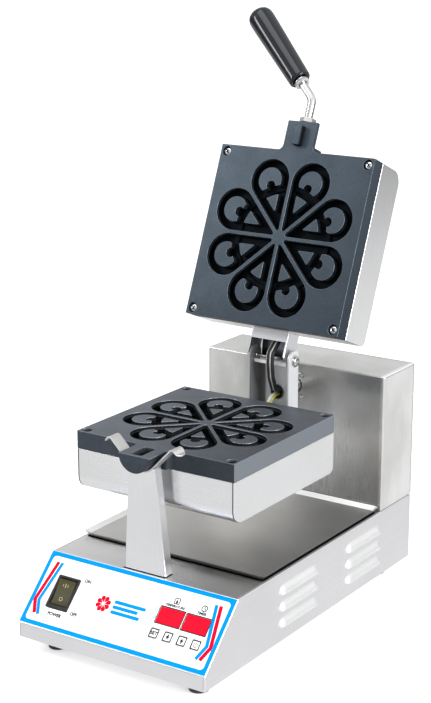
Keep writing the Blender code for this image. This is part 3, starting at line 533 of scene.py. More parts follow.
class Nodes:
    """Emptied node tree, with a short call for each kind of node used here."""

    def __init__(self, owner):
        owner.use_nodes = True
        self.tree = owner.node_tree
        self.tree.nodes.clear()

    def feed(self, node, inputs):
        """Links sockets, sets plain values."""
        for key, value in inputs.items():
            if isinstance(value, bpy.types.NodeSocket):
                self.tree.links.new(value, node.inputs[key])
            else:
                node.inputs[key].default_value = value

    def add(self, kind, inputs={}, **settings):
        node = self.tree.nodes.new("ShaderNode" + kind)
        for key, value in settings.items():
            setattr(node, key, value)
        self.feed(node, inputs)
        return node

    def ramp(self, value, *stops):
        """Stops are (position, grey) or (position, colour)."""
        node = self.add("ValToRGB", {0: value})
        elements = node.color_ramp.elements
        while len(elements) < len(stops):
            elements.new(0.5)
        for element, (position, tone) in zip(elements, stops):
            element.position = position
            element.color = (*(tone if isinstance(tone, tuple) else (tone,) * 3), 1.0)
        return node.outputs[0]

    def span(self, value, source, to):
        """Maps the source range of a value onto another."""
        return self.add("MapRange", {"Value": value, "From Min": source[0], "From Max": source[1],
                                     "To Min": to[0], "To Max": to[1]}).outputs[0]

    def math(self, operation, first, second):
        return self.add("Math", {0: first, 1: second}, operation=operation).outputs[0]

    def mix(self, amount, first, second, mode="MIX"):
        inputs = {0: amount, 6: first, 7: second}
        for key in (6, 7):
            if isinstance(inputs[key], tuple):
                inputs[key] = (*inputs[key], 1.0)
        return self.add("Mix", inputs, data_type="RGBA", blend_type=mode).outputs[2]


class Shader(Nodes):
    """Principled material in object coordinates."""

    def __init__(self, name):
        self.material = bpy.data.materials.new(name)
        super().__init__(self.material)
        output = self.add("OutputMaterial")
        self.bsdf = self.add("BsdfPrincipled")
        self.feed(output, {0: self.bsdf.outputs[0]})
        self.coords = self.add("TexCoord").outputs

    def set(self, inputs):
        self.feed(self.bsdf, inputs)

    def noise(self, scale, stretch=(1, 1, 1), detail=2.0, rough=0.5, shift=(0, 0, 0)):
        mapping = self.add("Mapping", {"Vector": self.coords["Object"], "Location": shift,
                                       "Scale": [scale * s for s in stretch]})
        return self.add("TexNoise", {"Vector": mapping.outputs[0], "Scale": 1.0,
                                     "Detail": detail, "Roughness": rough}).outputs["Fac"]

    def banded(self, color, light_bands):
        """Multiplies by bands of painted light and shade (axis, from, to, stops), in metres along the axis."""
        for axis, start, end, stops in light_bands:
            split = self.add("SeparateXYZ", {0: self.coords["Object"]})
            value = self.span(split.outputs[axis], (start, end), to=(0.0, 1.0))
            color = self.mix(1.0, color, self.ramp(value, *stops), "MULTIPLY")
        return color

    def bump(self, height, strength, distance):
        node = self.add("Bump", {"Height": height, "Strength": strength, "Distance": distance})
        self.set({"Normal": node.outputs[0]})


def brushed(name, grain="x", tone=(0.80, 0.80, 0.805), rough=0.30, vary=0.045, smudge_and_reflection=0.08,
            seed=0.0, cloud=(1, 1, 1), light_bands=(), patch=7.0, metal=1.0):
    """Brushed stainless sheet: streaks along the grain, soft smudges that stand for painted reflections on the
    housing, optional bands of painted light and shade.
    """
    s = Shader(name)
    axis = "xyz".index(grain)
    stretch = [1 if i == axis else 60 for i in range(3)]
    shift = (seed, seed * 1.7, seed * 0.6)
    fine = s.noise(40.0, stretch, detail=3.0, rough=0.65, shift=shift)
    broad = s.noise(9.0, stretch, shift=shift)
    soft = s.noise(patch, cloud, detail=3.0, rough=0.55, shift=shift)
    streak = s.math("ADD", s.math("MULTIPLY", fine, 0.65), s.math("MULTIPLY", broad, 0.35))
    color = s.ramp(streak, (0.25, scaled(tone, 1 - vary)), (0.75, scaled(tone, 1 + vary)))
    # smudge clouds: real smudges, and on the housing painted reflections
    smudge_and_reflection_tint = (1 - smudge_and_reflection, 1 - smudge_and_reflection * 1.02, 1 - smudge_and_reflection * 1.08)
    color = s.mix(1.0, color, s.ramp(soft, (0.30, smudge_and_reflection_tint), (0.66, (1.0, 1.0, 1.0))), "MULTIPLY")
    direction = s.add("CombineXYZ", {axis: 1.0})
    s.set({
        "Base Color": s.banded(color, light_bands),
        "Metallic": metal,
        "Roughness": s.math("ADD", s.span(fine, (0.25, 0.75), to=(rough - 0.05, rough + 0.07)),
                            s.span(soft, (0.3, 0.7), to=(0.05, -0.03))),
        "Anisotropic": 0.55,
        "Anisotropic Rotation": 0.25,
        "Tangent": direction.outputs[0]})
    s.bump(fine, strength=0.05, distance=0.0001)
    return s.material


def coated(name, tone, speck=0.45, side_light=1.0, light_bands=(), edge=2.6):
    """Speckled non-stick coating: orange-peel bump, pale flecks, cloudy sheen.
    The recess layer paints shade into the cavities, the edge layer paints highlights on the rims and ledges."""
    s = Shader(name)
    rough = 0.40
    cloud = s.noise(22.0, detail=4.0, rough=0.6)
    fleck = s.noise(1300.0, rough=0.7)
    pit = s.noise(420.0, rough=0.6, shift=(3, 1, 2))
    color = s.ramp(cloud, (0.30, scaled(tone, 0.86)), (0.72, scaled(tone, 1.14)))
    flecks = s.math("MULTIPLY", s.ramp(fleck, (0.58, 0.0), (0.70, 1.0)), speck)
    color = s.mix(flecks, color, scaled(tone, 2.2, lighten=0.03))
    pits = s.math("MULTIPLY", s.ramp(pit, (0.30, 1.0), (0.42, 0.0)), 0.35)
    color = s.mix(pits, color, scaled(tone, 0.45))
    # faces that look sideways take a lighter or darker tone: painted side light
    normal = s.add("SeparateXYZ", {0: s.coords["Normal"]})
    sideways = s.span(s.math("ABSOLUTE", normal.outputs[0], 0.0), (0.80, 0.95), to=(0.0, 1.0))
    color = s.banded(s.mix(sideways, color, scaled(tone, side_light)), light_bands)
    # the edge layer paints highlights on the rims, varied by the pit noise
    recess, lit_edge = [s.add("Attribute", attribute_name=layer).outputs["Fac"]
                    for layer in ("recess", "lit_edge")]
    lit_edge = s.math("MULTIPLY", lit_edge, s.span(pit, (0.35, 0.6), to=(0.35, 0.9)))
    # painted shade: the recess layer darkens the cavities
    color = s.mix(recess, color, scaled(tone, 0.07))
    s.set({
        "Base Color": s.mix(lit_edge, color, scaled(tone, edge, lighten=0.03)),
        "Metallic": 0.62,
        "Roughness": s.span(cloud, (0.3, 0.7), to=(rough + 0.05, rough - 0.05)),
        "Specular IOR Level": s.span(recess, (0.0, 1.0), to=(0.5, 0.06)),
        "Specular Tint": (0.30, 0.31, 0.33, 1.0)})
    height = s.math("ADD", s.math("MULTIPLY", fleck, 0.5), pit)
    s.bump(height, strength=0.20, distance=0.0003)
    return s.material


def plated(name, tone, rough, vary=0.10, scale=160.0, metal=1.0, relief=0.05):
    s = Shader(name)
    fine = s.noise(scale, detail=3.0, rough=0.6)
    broad = s.noise(scale * 0.15, shift=(5, 5, 5))
    s.set({
        "Base Color": s.ramp(broad, (0.3, scaled(tone, 1 - vary)),
                             (0.7, scaled(tone, 1 + vary * 0.5))),
        "Metallic": metal,
        "Roughness": s.span(fine, (0.3, 0.7), to=(rough * 0.75, rough * 1.3))})
    s.bump(fine, strength=relief, distance=0.0002)
    return s.material


def plastic(name, tone, rough, grain, relief, vary=0.12, spec=0.5):
    s = Shader(name)
    fine = s.noise(grain, rough=0.6)
    broad = s.noise(30.0, detail=3.0, rough=0.6, shift=(2, 7, 1))
    s.set({
        "Base Color": s.ramp(broad, (0.3, scaled(tone, 1 - vary)), (0.7, scaled(tone, 1 + vary))),
        "Specular IOR Level": spec,
        "Roughness": s.span(broad, (0.3, 0.7), to=(rough * 1.2, rough * 0.85))})
    s.bump(fine, strength=relief, distance=0.0002)
    return s.material


def film(name, tone, rough=0.40, vary=0.04, spec=0.02):
    """Even film or ink."""
    return plastic(name, tone, rough=rough, grain=1600.0, relief=0.04, vary=vary, spec=spec)


def glow(name, tone, strength, rough):
    """Tinted display window, faintly lit from behind."""
    s = Shader(name)
    cloud = s.noise(60.0, detail=3.0)
    color = s.ramp(cloud, (0.3, scaled(tone, 0.94)), (0.7, tone))
    s.set({
        "Base Color": color,
        "Emission Color": color,
        "Emission Strength": strength,
        "Specular IOR Level": 0.10,
        "Roughness": s.span(cloud, (0.3, 0.7), to=(rough * 1.3, rough * 0.8))})
    return s.material


# ================================================================== materials
STEEL_X = brushed("steel_sheet_x", "x", seed=1.0)
STEEL_Y = brushed("steel_sheet_y", "y", seed=2.0, tone=(0.83, 0.83, 0.85), smudge_and_reflection=0.04)
brushed("steel_sheet_z", "z", seed=3.0)
# housing: the smudge clouds are painted reflections; bands paint a faint dark line and a bright fold strip near
# the right end, and a highlight along the top
STEEL_HOUSE = brushed(
    "steel_housing", "z", seed=4.0, tone=(0.76, 0.76, 0.76), smudge_and_reflection=0.27, rough=0.27,
    cloud=(1.2, 1.2, 0.8), patch=11.0, vary=0.035,
    light_bands=((0, 0.1130, 0.1250, ((0.0, 1.0), (0.46, 1.0), (0.50, 0.80), (0.54, 1.28), (0.93, 1.34),
                                (1.0, 1.22))),
           (2, 0.2655, 0.2669, ((0.0, 1.0), (1.0, 1.16)))))
STEEL_COVER = brushed("steel_cover", "x", seed=5.0, tone=(0.84, 0.845, 0.855), smudge_and_reflection=0.05,
                      rough=0.24)
# tray: bands of painted light, lighter at the left, darker to the right
STEEL_TRAY = brushed("steel_tray", "x", seed=6.0, tone=(0.52, 0.515, 0.50), smudge_and_reflection=0.16,
                     rough=0.33, light_bands=((0, -0.12, 0.12, ((0.0, 1.20), (0.45, 1.0), (1.0, 0.76))),))
STEEL_POST = brushed("steel_post", "z", seed=7.0, tone=(0.82, 0.825, 0.84), rough=0.30, vary=0.03)
STEEL_STRIP = brushed("steel_strip", "x", seed=8.0, tone=(0.60, 0.60, 0.59), rough=0.34,
                      metal=0.80)
brushed("steel_hinge", "z", seed=9.0, tone=(0.70, 0.71, 0.73), rough=0.36, metal=0.72)
STEEL_BRACKET = brushed("steel_bracket", "x", seed=12.0, tone=(0.68, 0.69, 0.71), rough=0.34,
                        metal=0.80)
# inside of the bracket: bands of painted shade and light, dark at both sides and towards the bottom, lit in the
# middle
STEEL_SHADE = brushed(
    "steel_inner_shade_and_light", "x", seed=13.0, tone=(0.30, 0.34, 0.40), rough=0.40, metal=0.8, smudge_and_reflection=0.3,
    light_bands=((0, -0.024, 0.024, ((0.0, 0.2), (0.22, 0.3), (0.34, 1.3), (0.62, 1.1), (0.84, 0.7),
                               (1.0, 0.3))),
           (2, 0.2835, 0.2925, ((0.0, 0.04), (0.6, 0.25), (1.0, 1.0)))))
STEEL_DARK = brushed("steel_shadowed", "z", seed=14.0, tone=(0.10, 0.11, 0.12), rough=0.45,
                     metal=0.8)
# near black steel: painted shade in the covers' seam grooves and the screw heads' cross recesses
GROOVE_SHADE = brushed("steel_groove_shade", "x", seed=15.0, tone=(0.045, 0.047, 0.05), rough=0.5, metal=0.6)
STEEL_LOUVRE = brushed("steel_louvre", "y", seed=16.0, tone=(0.84, 0.845, 0.85), rough=0.40,
                       metal=0.80)
# the sheet steel of the deck painted darker than the sides, with bands of painted light, lighter to the left
STEEL_DECK = brushed(
    "steel_deck", "y", seed=2.0, tone=(0.70, 0.70, 0.705), smudge_and_reflection=0.06,
    light_bands=((0, -0.125, 0.125, ((0.0, 1.18), (0.30, 1.08), (0.62, 0.92), (1.0, 0.80))),))
# upper cover: bands of painted light, lighter towards its bottom
STEEL_COVER_UP = brushed(
    "steel_cover_upper", "z", seed=17.0, tone=(0.84, 0.845, 0.855),
    light_bands=((2, 0.30, 0.56, ((0.0, 1.12), (0.45, 0.98), (0.8, 0.80), (1.0, 0.74))),))
ROD_CHROME = plated("rod_chrome", (0.56, 0.565, 0.575), rough=0.25)
# black for the strips and heads that stand for shadow: painted shadow
SHADOW_BLACK = plastic("shadow_black", (0.004, 0.004, 0.0045), rough=0.7, grain=700.0, relief=0.1, spec=0.03)
# channel: bands of painted shade on the inner face of the left ear and its shadow on the web, painted light
# further right
STEEL_CHANNEL = brushed(
    "steel_channel", "z", seed=9.0, tone=(0.70, 0.71, 0.73), rough=0.34, metal=0.40,
    light_bands=((0, -0.026, 0.034, ((0.0, 1.20), (0.045, 1.15), (0.07, 0.22), (0.19, 0.29),
                               (0.245, 1.36), (0.50, 1.28), (0.78, 1.00), (0.90, 0.92),
                               (1.0, 0.92))),))
# a lighter copy of the sheet steel: painted highlight on rims and edges
STEEL_RIM_HIGHLIGHT = brushed("steel_rim_highlight", "y", seed=10.0, tone=(0.92, 0.92, 0.92), rough=0.42, metal=0.25)
# one coating in lit and shaded copies: the lower plate's painted lighter, with lighter side walls; its front
# flank, the upper plate and the upper key's sides darker; bands paint light falling off across them
COAT_LOW = coated("nonstick_lower", (0.168, 0.185, 0.208), side_light=1.60, edge=1.5,
                  light_bands=((0, -0.105, 0.105, ((0.0, 1.0), (0.45, 0.82), (1.0, 0.66))),))
COAT_FRONT_SHADE = coated(
    "nonstick_front_shade", (0.042, 0.051, 0.062),
    light_bands=((0, -0.105, 0.105, ((0.0, 1.15), (0.5, 1.05), (0.75, 0.75), (1.0, 0.85))),))
COAT_SHADE = coated("nonstick_shaded", (0.012, 0.014, 0.017), speck=0.25)
COAT_UP = coated("nonstick_upper", (0.064, 0.083, 0.104),
                 light_bands=((2, 0.29, 0.56, ((0.0, 0.58), (0.5, 0.80), (1.0, 1.0))),
                        (0, -0.105, 0.105, ((0.0, 1.0), (1.0, 0.80)))))
CHROME = plated("chrome", (0.64, 0.645, 0.65), rough=0.15)
ZINC = plated("zinc_plate", (0.66, 0.66, 0.645), rough=0.30, vary=0.18, scale=320.0)
IRON = plated("cast_iron", (0.16, 0.155, 0.15), rough=0.6, vary=0.2, scale=500.0, metal=0.8,
              relief=0.3)
SHEATH = plated("heater_sheath", (0.26, 0.22, 0.19), rough=0.45, vary=0.3, scale=120.0)
GLOSS = plastic("black_gloss", (0.004, 0.006, 0.009), rough=0.13, grain=700.0, relief=0.03,
                spec=0.40)
plated("black_oxide", (0.016, 0.016, 0.018), rough=0.38, vary=0.2, scale=500.0, metal=0.7)
BLACK = plastic("black_moulded", (0.010, 0.010, 0.011), rough=0.42, grain=1200.0, relief=0.15,
                spec=0.22)
ROCKER = plastic("rocker_smoked", (0.046, 0.042, 0.017), rough=0.35, grain=900.0, relief=0.06,
                 spec=0.18)
RUBBER = plastic("rubber", (0.020, 0.020, 0.021), rough=0.72, grain=1500.0, relief=0.30)
FILM = film("panel_film", (0.90, 0.905, 0.92), rough=0.42, vary=0.015, spec=0.5)
KEY_FILM = film("key_film", (0.88, 0.885, 0.90), rough=0.38, vary=0.015, spec=0.5)
INK_BLUE = film("ink_blue", (0.000, 0.245, 0.80))
INK_RED = film("ink_red", (0.720, 0.002, 0.022))
INK_BLACK = film("ink_black", (0.018, 0.018, 0.018), rough=0.45, vary=0.10)
INK_TEAL = film("ink_teal", (0.040, 0.460, 0.460), vary=0.05)
INK_PALE = film("ink_pale", (0.34, 0.32, 0.20), vary=0.05)
WINDOW = glow("red_window", (0.66, 0.002, 0.020), strength=0.12, rough=0.2)
BOARD = plastic("board_green", (0.02, 0.16, 0.06), rough=0.35, grain=400.0, relief=0.2, vary=0.3)
WHITE = plastic("white_moulded", (0.80, 0.80, 0.78), rough=0.45, grain=900.0, relief=0.1)
SLEEVE = plastic("braided_sleeve", (0.020, 0.020, 0.022), rough=0.55, grain=1400.0, relief=0.5,
                 vary=0.35, spec=0.30)
SLEEVE_PALE = plastic("braided_sleeve_pale", (0.46, 0.45, 0.43), rough=0.50, grain=1400.0,
                      relief=0.5, vary=0.35)
WIRE_WHITE = plastic("wire_white", (0.62, 0.62, 0.58), rough=0.38, grain=700.0, relief=0.2,
                     vary=0.15)
WIRE_EARTH = plastic("wire_yellow_green", (0.52, 0.50, 0.04), rough=0.38, grain=700.0, relief=0.2,
                     vary=0.3)

# looks of the CAD pieces, by material slot
BY_SLOT = {"stainless": STEEL_X, "nonstick": COAT_LOW, "chrome": CHROME, "zinc": ZINC,
           "black_plastic": BLACK, "rubber": RUBBER, "panel_film": FILM, "red_window": WINDOW,
           "key_cap": KEY_FILM, "circuit_board": BOARD, "white_plastic": WHITE,
           "heater_sheath": SHEATH, "iron": IRON, "sleeving": SLEEVE, "wire_white": WIRE_WHITE}
for part in cad["record"]["subparts"]:
    node = cad["nodes"].get(part["node"])
    look = BY_SLOT.get(part.get("material_slot"))
    if node is not None and look is not None:
        node.data.materials.clear()
        node.data.materials.append(look)

# ================================================================== base shell, pressed louvres
LOUVRE_Z = (74.5, 55.2, 36.0)
LOUVRE_Y = ((-80.0, 0.0), (66.5, 147.5))
LOUVRES = [(y0, y1, z) for y0, y1 in LOUVRE_Y for z in LOUVRE_Z]
# on the slope: (x, y), then width and height
SWITCH = (-85.5, 44.5, 29.8, 39.6)
WINDOWS = (("display_temperature", 55.9, 51.5), ("display_timer", 89.8, 51.2))
WINDOW_SIZE = (30.6, 18.4)
KEYS = (("key_set", 45.8, "key_1"), ("key_down", 63.7, "key_2"), ("key_up", 81.7, "key_3"),
        ("key_start", 99.5, "key_4"))       # name, x, body
KEY_Y, KEY = 29.8, 11.8                     # row of the keys, side of a key
CLEAR = 0.3                                 # gap round the parts let into the panel
INLET_X, INLET_Z = 78.0, 58.0

shell = folded(rounded([(-HALF_L, UNDERSIDE, 0.8), (HALF_L, UNDERSIDE, 0.8), (HALF_L, DECK, 1.6),
                        (SLOPE_END, DECK, 2.2), (-HALF_L, LIP_TOP, 2.2)]), HALF_W, 1.5)
hollow = prism([[(-HALF_L + SHEET, UNDERSIDE - 3), (HALF_L - SHEET, UNDERSIDE - 3),
                 (HALF_L - SHEET, DECK - SHEET), (SLOPE_END + 0.5, DECK - SHEET),
                 (-HALF_L + SHEET, LIP_TOP - 0.5)]], -HALF_W + SHEET, HALF_W - SHEET, YZX, 0)
holes = prism([centred(*SWITCH[:2], 27, 36, 0)], -8, 8, SLOPE, 0)
for name, x, y in WINDOWS:
    prism([centred(x, y, *WINDOW_SIZE, 0, CLEAR)], -6, 6, SLOPE, 0, into=holes)
for name, x, body in KEYS:
    prism([centred(x, KEY_Y, KEY, KEY, 0, CLEAR)], -6, 6, SLOPE, 0, into=holes)
box(INLET_X - 14, INLET_X + 14, HALF_L - 6, HALF_L + 6, INLET_Z - 10, INLET_Z + 10, into=holes)
slits = new()
gaps = new()        # fold gaps of the front lip, just inside both side panels
for side in (1, -1):
    near, far = sorted((side * (HALF_W - 4), side * (HALF_W + 3)))
    for y0, y1, z in LOUVRES:
        box(near, far, y0 + 2.5, y1 - 2.5, z + 0.1, z + 7.2, into=slits)
    x = -side * (HALF_W - 2.0)
    box(x - 0.18, x + 0.18, -HALF_L - 1, -HALF_L + 0.6, UNDERSIDE - 1, LIP_TOP - 1.2, into=gaps)
shell = cut(shell, hollow, holes, slits, gaps)
base_shell = piece("base_shell", shell, STEEL_Y, "base", "chassis")
# the deck's faces take the deck copy of the steel: painted darker, with bands of painted light
repaint(base_shell, STEEL_DECK, lambda at, normal: normal.z > 0.95 and at.z > DECK - 0.3)


def eased(u):
    """0 to 1, with stations crowded towards both ends."""
    if 0.2 < u < 0.8:
        return u
    if u <= 0.2:
        return 0.2 * (1 - cos(u / 0.2 * pi / 2))
    return 1 - 0.2 * (1 - cos((1 - u) / 0.2 * pi / 2))


def louvre(mesh, side, y0, y1, z):
    """Pressed hood: bulges out of the wall, rounded ends, open along its lower edge."""
    height, depth, end = 12.6, 4.1, 9.0
    columns, rows = 84, 14

    def surface(inset):
        grid = []
        for i in range(columns + 1):
            y = y0 + (y1 - y0) * eased(i / columns)
            near_end = min(1.0, min(y - y0, y1 - y) / end)
            swell = sqrt(max(1 - (1 - near_end) ** 2, 0.0))
            row = []
            for k in range(rows + 1):
                t = k / rows
                out = (depth + 0.25) * swell * 0.5 * (1 + cos(pi * t ** 1.12)) - 0.25
                up = z - 0.4 + (height * (0.18 + 0.82 * swell) - inset) * t
                row.append(mesh.verts.new((side * (HALF_W + out - inset), y, up)))
            grid.append(row)
        return grid

    outer, inner = surface(0.0), surface(0.9)
    skin(mesh, outer, False)
    skin(mesh, inner, False)
    for k in (0, -1):
        bridge(mesh, [row[k] for row in outer], [row[k] for row in inner], False)
    for k in (0, -1):
        bridge(mesh, outer[k], inner[k], False)


for side, name in ((1, "right"), (-1, "left")):
    mesh = new()
    for y0, y1, z in LOUVRES:
        louvre(mesh, side, y0, y1, z)
    piece("louvres_" + name, mesh, STEEL_LOUVRE, "base", angle=60)

# ================================================================== feet
# (radius, height) profiles
FOOT = [(0, 10), (4.3, 10), (4.5, 9.7), (4.5, 0.5), (4.9, 0.1), (10.1, 0), (10.8, 0.4),
        (11.05, 1.0), (11.5, 4.6), (11.3, 5.1), (11.3, 5.7), (11.7, 6.2), (12.9, 13.4),
        (13.4, 15.2), (13.4, 16.0), (12.9, 16.6), (0, 16.6)]
FOOT_SCREW = [(0, 7.2), (4.0, 7.2), (3.9, 7.6), (3.0, 8.7), (0, 9.0)]
for name in ("foot_front_left", "foot_front_right", "foot_rear_left", "foot_rear_right"):
    lo, hi = box_mm(name)
    centre = (lo + hi) / 2
    frame = place(centre.x, centre.y, lo.z)
    piece(name + "_rubber", lathe(FOOT, frame, 56), RUBBER, "base", name)
    piece(name + "_screw", lathe(FOOT_SCREW, frame, 28), ZINC, "base")

# ================================================================== rear housing, back panel
shell = folded(rounded([(HOUSING_Y, DECK + .3, 0.4), (HALF_L - 1.5, DECK + .3, 0.4),
                        (HALF_L - 1.5, HOUSING_TOP, 1.8), (HOUSING_Y, HOUSING_TOP, 2.2)]),
               HALF_W, 2.1)
inner = box(-HALF_W + SHEET, HALF_W - SHEET, HOUSING_Y + SHEET, HALF_L + 5,
            DECK - 5, HOUSING_TOP - SHEET)
bore = cylinder(12.2, HOUSING_Y - 5, HOUSING_Y + 5, place(0, 0, AXIS_Z, TO_REAR), 48)
piece("housing_shell", cut(shell, inner, bore), STEEL_HOUSE, "base", "rear_housing")

vents = [rrect(-45, 45, 130 + 12 * i, 134 + 12 * i, 1.9, 5) for i in range(5)]
panel = prism([rrect(-HALF_W, HALF_W, DECK + .3, HOUSING_TOP, 2.0)] + vents,
              -HALF_L, -HALF_L + SHEET, XZY, 0.3, 2)
piece("back_panel", panel, STEEL_X, "base", "rear_cover")


def cross_screws(frames, radius, height, under):
    """Pan heads with a cruciform recess; a frame has z out of the surface at the seat."""
    mesh = new()
    profile = [(0, under), (radius * 0.45, under), (radius * 0.45, 0), (radius, 0)]
    for angle in (0, 14, 28, 42, 56, 70, 82):
        a = radians(angle)
        profile.append((radius * cos(a), 0.25 * height + 0.75 * height * sin(a)))
    profile.append((0, height))
    for frame in frames:
        tools = []
        for angle in (0.02, 0.02 + pi / 2):
            tool = new()
            turn = Matrix.Rotation(angle + pi / 4, 4, "Z")
            w, l = radius * 0.165, radius * 0.68
            top = ring(tool, [(-l, -w), (l, -w), (l, w), (-l, w)], height + 0.5, turn)
            w, l = w * .6, l * .35
            floor = [(-l, -w), (l, -w), (l, w), (-l, w)]
            capped(tool, [top, ring(tool, floor, height - radius * 0.50, turn)])
            tools.append(tool)
        screw = moved(cut(lathe(profile, XY, 36), *tools), frame)
        data = bpy.data.meshes.new("t")
        screw.to_mesh(data)
        screw.free()
        mesh.from_mesh(data)
        bpy.data.meshes.remove(data)
    return mesh


frames = [place(x, HALF_L, z, TO_REAR) for x in (-HALF_W + 9, 0, HALF_W - 9)
          for z in (DECK + 9, HOUSING_TOP - 9)]
piece("back_panel_screws", cross_screws(frames, 3.4, 1.6, -1.0), ZINC, "base")

for name in ("wall_bolt_1", "wall_bolt_2"):
    lo, hi = box_mm(name)
    centre = (lo + hi) / 2
    frame = place(centre.x, HOUSING_Y - 0.3, centre.z, TO_FRONT)
    washer = lathe([(0, -1.0), (2.0, -1.0), (2.0, 0), (4.2, 0), (4.2, 0.7), (3.7, 0.9), (0, 0.9)],
                   frame, 36)
    head = prism([circle(0, 0, 3.5, 6)], 0.6, 3.6, frame @ Matrix.Rotation(0.3, 4, "Z"), 0.35)
    piece(name + "_hex", join(washer, head), ZINC, "base", name, angle=30)

# ================================================================== mains inlet
cavity = centred(INLET_X, INLET_Z, 23.4, 15.8, 3.0)
flange = prism([centred(INLET_X, INLET_Z, 49, 23, 4.0), cavity],
               -HALF_L - 3.0, -HALF_L - 0.3, XZY, 0.5)
cup = prism([centred(INLET_X, INLET_Z, 27.4, 19.4, 3.2), cavity],
            -HALF_L - 0.6, -HALF_L + 18.5, XZY, 0.0)
cup_floor = prism([centred(INLET_X, INLET_Z, 27, 19, 3.2)], -HALF_L + 14.0, -HALF_L + 20.0, XZY)
piece("inlet_socket", join(flange, cup, cup_floor), BLACK, "base", "mains_inlet")
mesh = new()
for x, z in ((-7, -2.2), (0, 2.2), (7, -2.2)):
    prism([centred(INLET_X + x, INLET_Z + z, 2, 4, 0.5, steps=3)],
          -HALF_L + 2.0, -HALF_L + 15.0, XZY, into=mesh)
piece("inlet_pins", mesh, CHROME, "base")
frames = [place(INLET_X + x, HALF_L + 3.0, INLET_Z, TO_REAR) for x in (-19.5, 19.5)]
piece("inlet_screws", cross_screws(frames, 2.6, 1.2, -1.0), ZINC, "base")

# ================================================================== control panel
label = [rrect(-HALF_W + 0.5, HALF_W - 0.5, 1.0, SLOPE_LEN - 0.9, 1.2),
         centred(*SWITCH, 0.8, CLEAR)]
label += [centred(x, y, *WINDOW_SIZE, 0.6, CLEAR) for name, x, y in WINDOWS]
label += [centred(x, KEY_Y, KEY, KEY, 1.4, CLEAR) for name, x, body in KEYS]
piece("panel_sheet", prism(label, 0.3, 0.68, SLOPE, 0.08, 1), FILM, "base", "control_label")

# printed layers stand a hair proud of the film and of the key caps: bottom, top
PRINT = (0.62, 0.78)
KEY_PRINT = (1.1, 1.28)


def printed(name, shapes, look, heights=PRINT, body="base"):
    """Each shape is an outline with its holes."""
    mesh = new()
    for loops in shapes:
        prism(loops, *heights, SLOPE, 0.0, into=mesh)
    piece(name, mesh, look, body, weighted=False)


def ribbon(points, width):
    """Shape of even width along a flat polyline."""
    points = [Vector(point) for point in points]
    left, right = [], []
    for i, point in enumerate(points):
        before = (point - points[i - 1]).normalized() if i else None
        after = (points[i + 1] - point).normalized() if i < len(points) - 1 else None
        near = before or after
        tangent = (before + after).normalized() if before and after else near
        normal = Vector((-tangent.y, tangent.x))
        stretch = 1.0 / max(normal.dot(Vector((-near.y, near.x))), 0.5)
        left.append(tuple(point + normal * width / 2 * stretch))
        right.append(tuple(point - normal * width / 2 * stretch))
    return [left + right[::-1]]


BORDER = 5.0
printed("print_border",
        [[rrect(-HALF_W + 0.6, HALF_W - 0.6, 1.1, SLOPE_LEN - 1.0, 1.2),
          rrect(-HALF_W + 0.6 + BORDER, HALF_W - 0.6 - BORDER, 1.1 + BORDER,
                SLOPE_LEN - 1.0 - BORDER, 4.4, 10)]], INK_BLUE)
printed("print_chevrons_red", [ribbon([(-109.8, 78), (-117.6, 30), (-110.6, 14.5)], 4.5),
                               ribbon([(109.2, 78), (117.7, 31.3), (111.2, 15.5)], 4.5)], INK_RED)
printed("print_chevrons_blue", [ribbon([(-104.2, 78), (-112.4, 30.5), (-105.4, 14)], 4.2),
                                ribbon([(103.6, 78), (112.5, 31.8), (105.9, 15.5)], 4.2)],
        INK_BLUE)

# emblem: an eight-petal rosette and three plain bars
leaf = [(6.9 + 2.6 * cos(radians(t)), 2.6 * sin(radians(t))) for t in range(-110, 111, 10)]
leaf.append((1.4, 0.0))
printed("print_rosette", [[turned(leaf, k, -30.5, 45.8)] for k in range(8)], INK_RED)
printed("print_bars", [[rrect(-17.5, end, y, y + 4.0, 1.4)]
                       for end, y in ((24.0, 49.4), (16.0, 43.4), (20.5, 37.4))], INK_BLUE)


def lettering(name, items, look, heights=PRINT, body="base"):
    """Upright lettering on the slope: (text, x, y, height)."""
    mesh = new()
    bottom, top = heights
    for text, x, y, size in items:
        curve = bpy.data.curves.new("t", "FONT")
        curve.body = text
        curve.size = size * 1.52
        curve.align_x = "CENTER"
        curve.align_y = "CENTER"
        curve.extrude = (top - bottom) / 2
        curve.offset = size * 0.072
        curve.resolution_u = 3
        ob = bpy.data.objects.new("t", curve)
        scene.collection.objects.link(ob)
        bpy.context.view_layer.update()
        graph = bpy.context.evaluated_depsgraph_get()
        data = bpy.data.meshes.new_from_object(ob.evaluated_get(graph))
        data.transform(SLOPE @ place(x, y, (bottom + top) / 2))
        mesh.from_mesh(data)
        bpy.data.objects.remove(ob, do_unlink=True)
        bpy.data.curves.remove(curve)
        bpy.data.meshes.remove(data)
    piece(name, mesh, look, body, weighted=False)


lettering("print_switch_words", [("ON", -61.7, 64.9, 3.5), ("OFF", -60.8, 24.5, 3.5),
                                 ("POWER", -84.3, 18.4, 3.5)], INK_BLACK)
lettering("print_captions", [("TEMPERATURE", 56.3, 64.3, 2.5), ("TIMER", 90.6, 64.3, 2.8)],
          INK_BLACK)

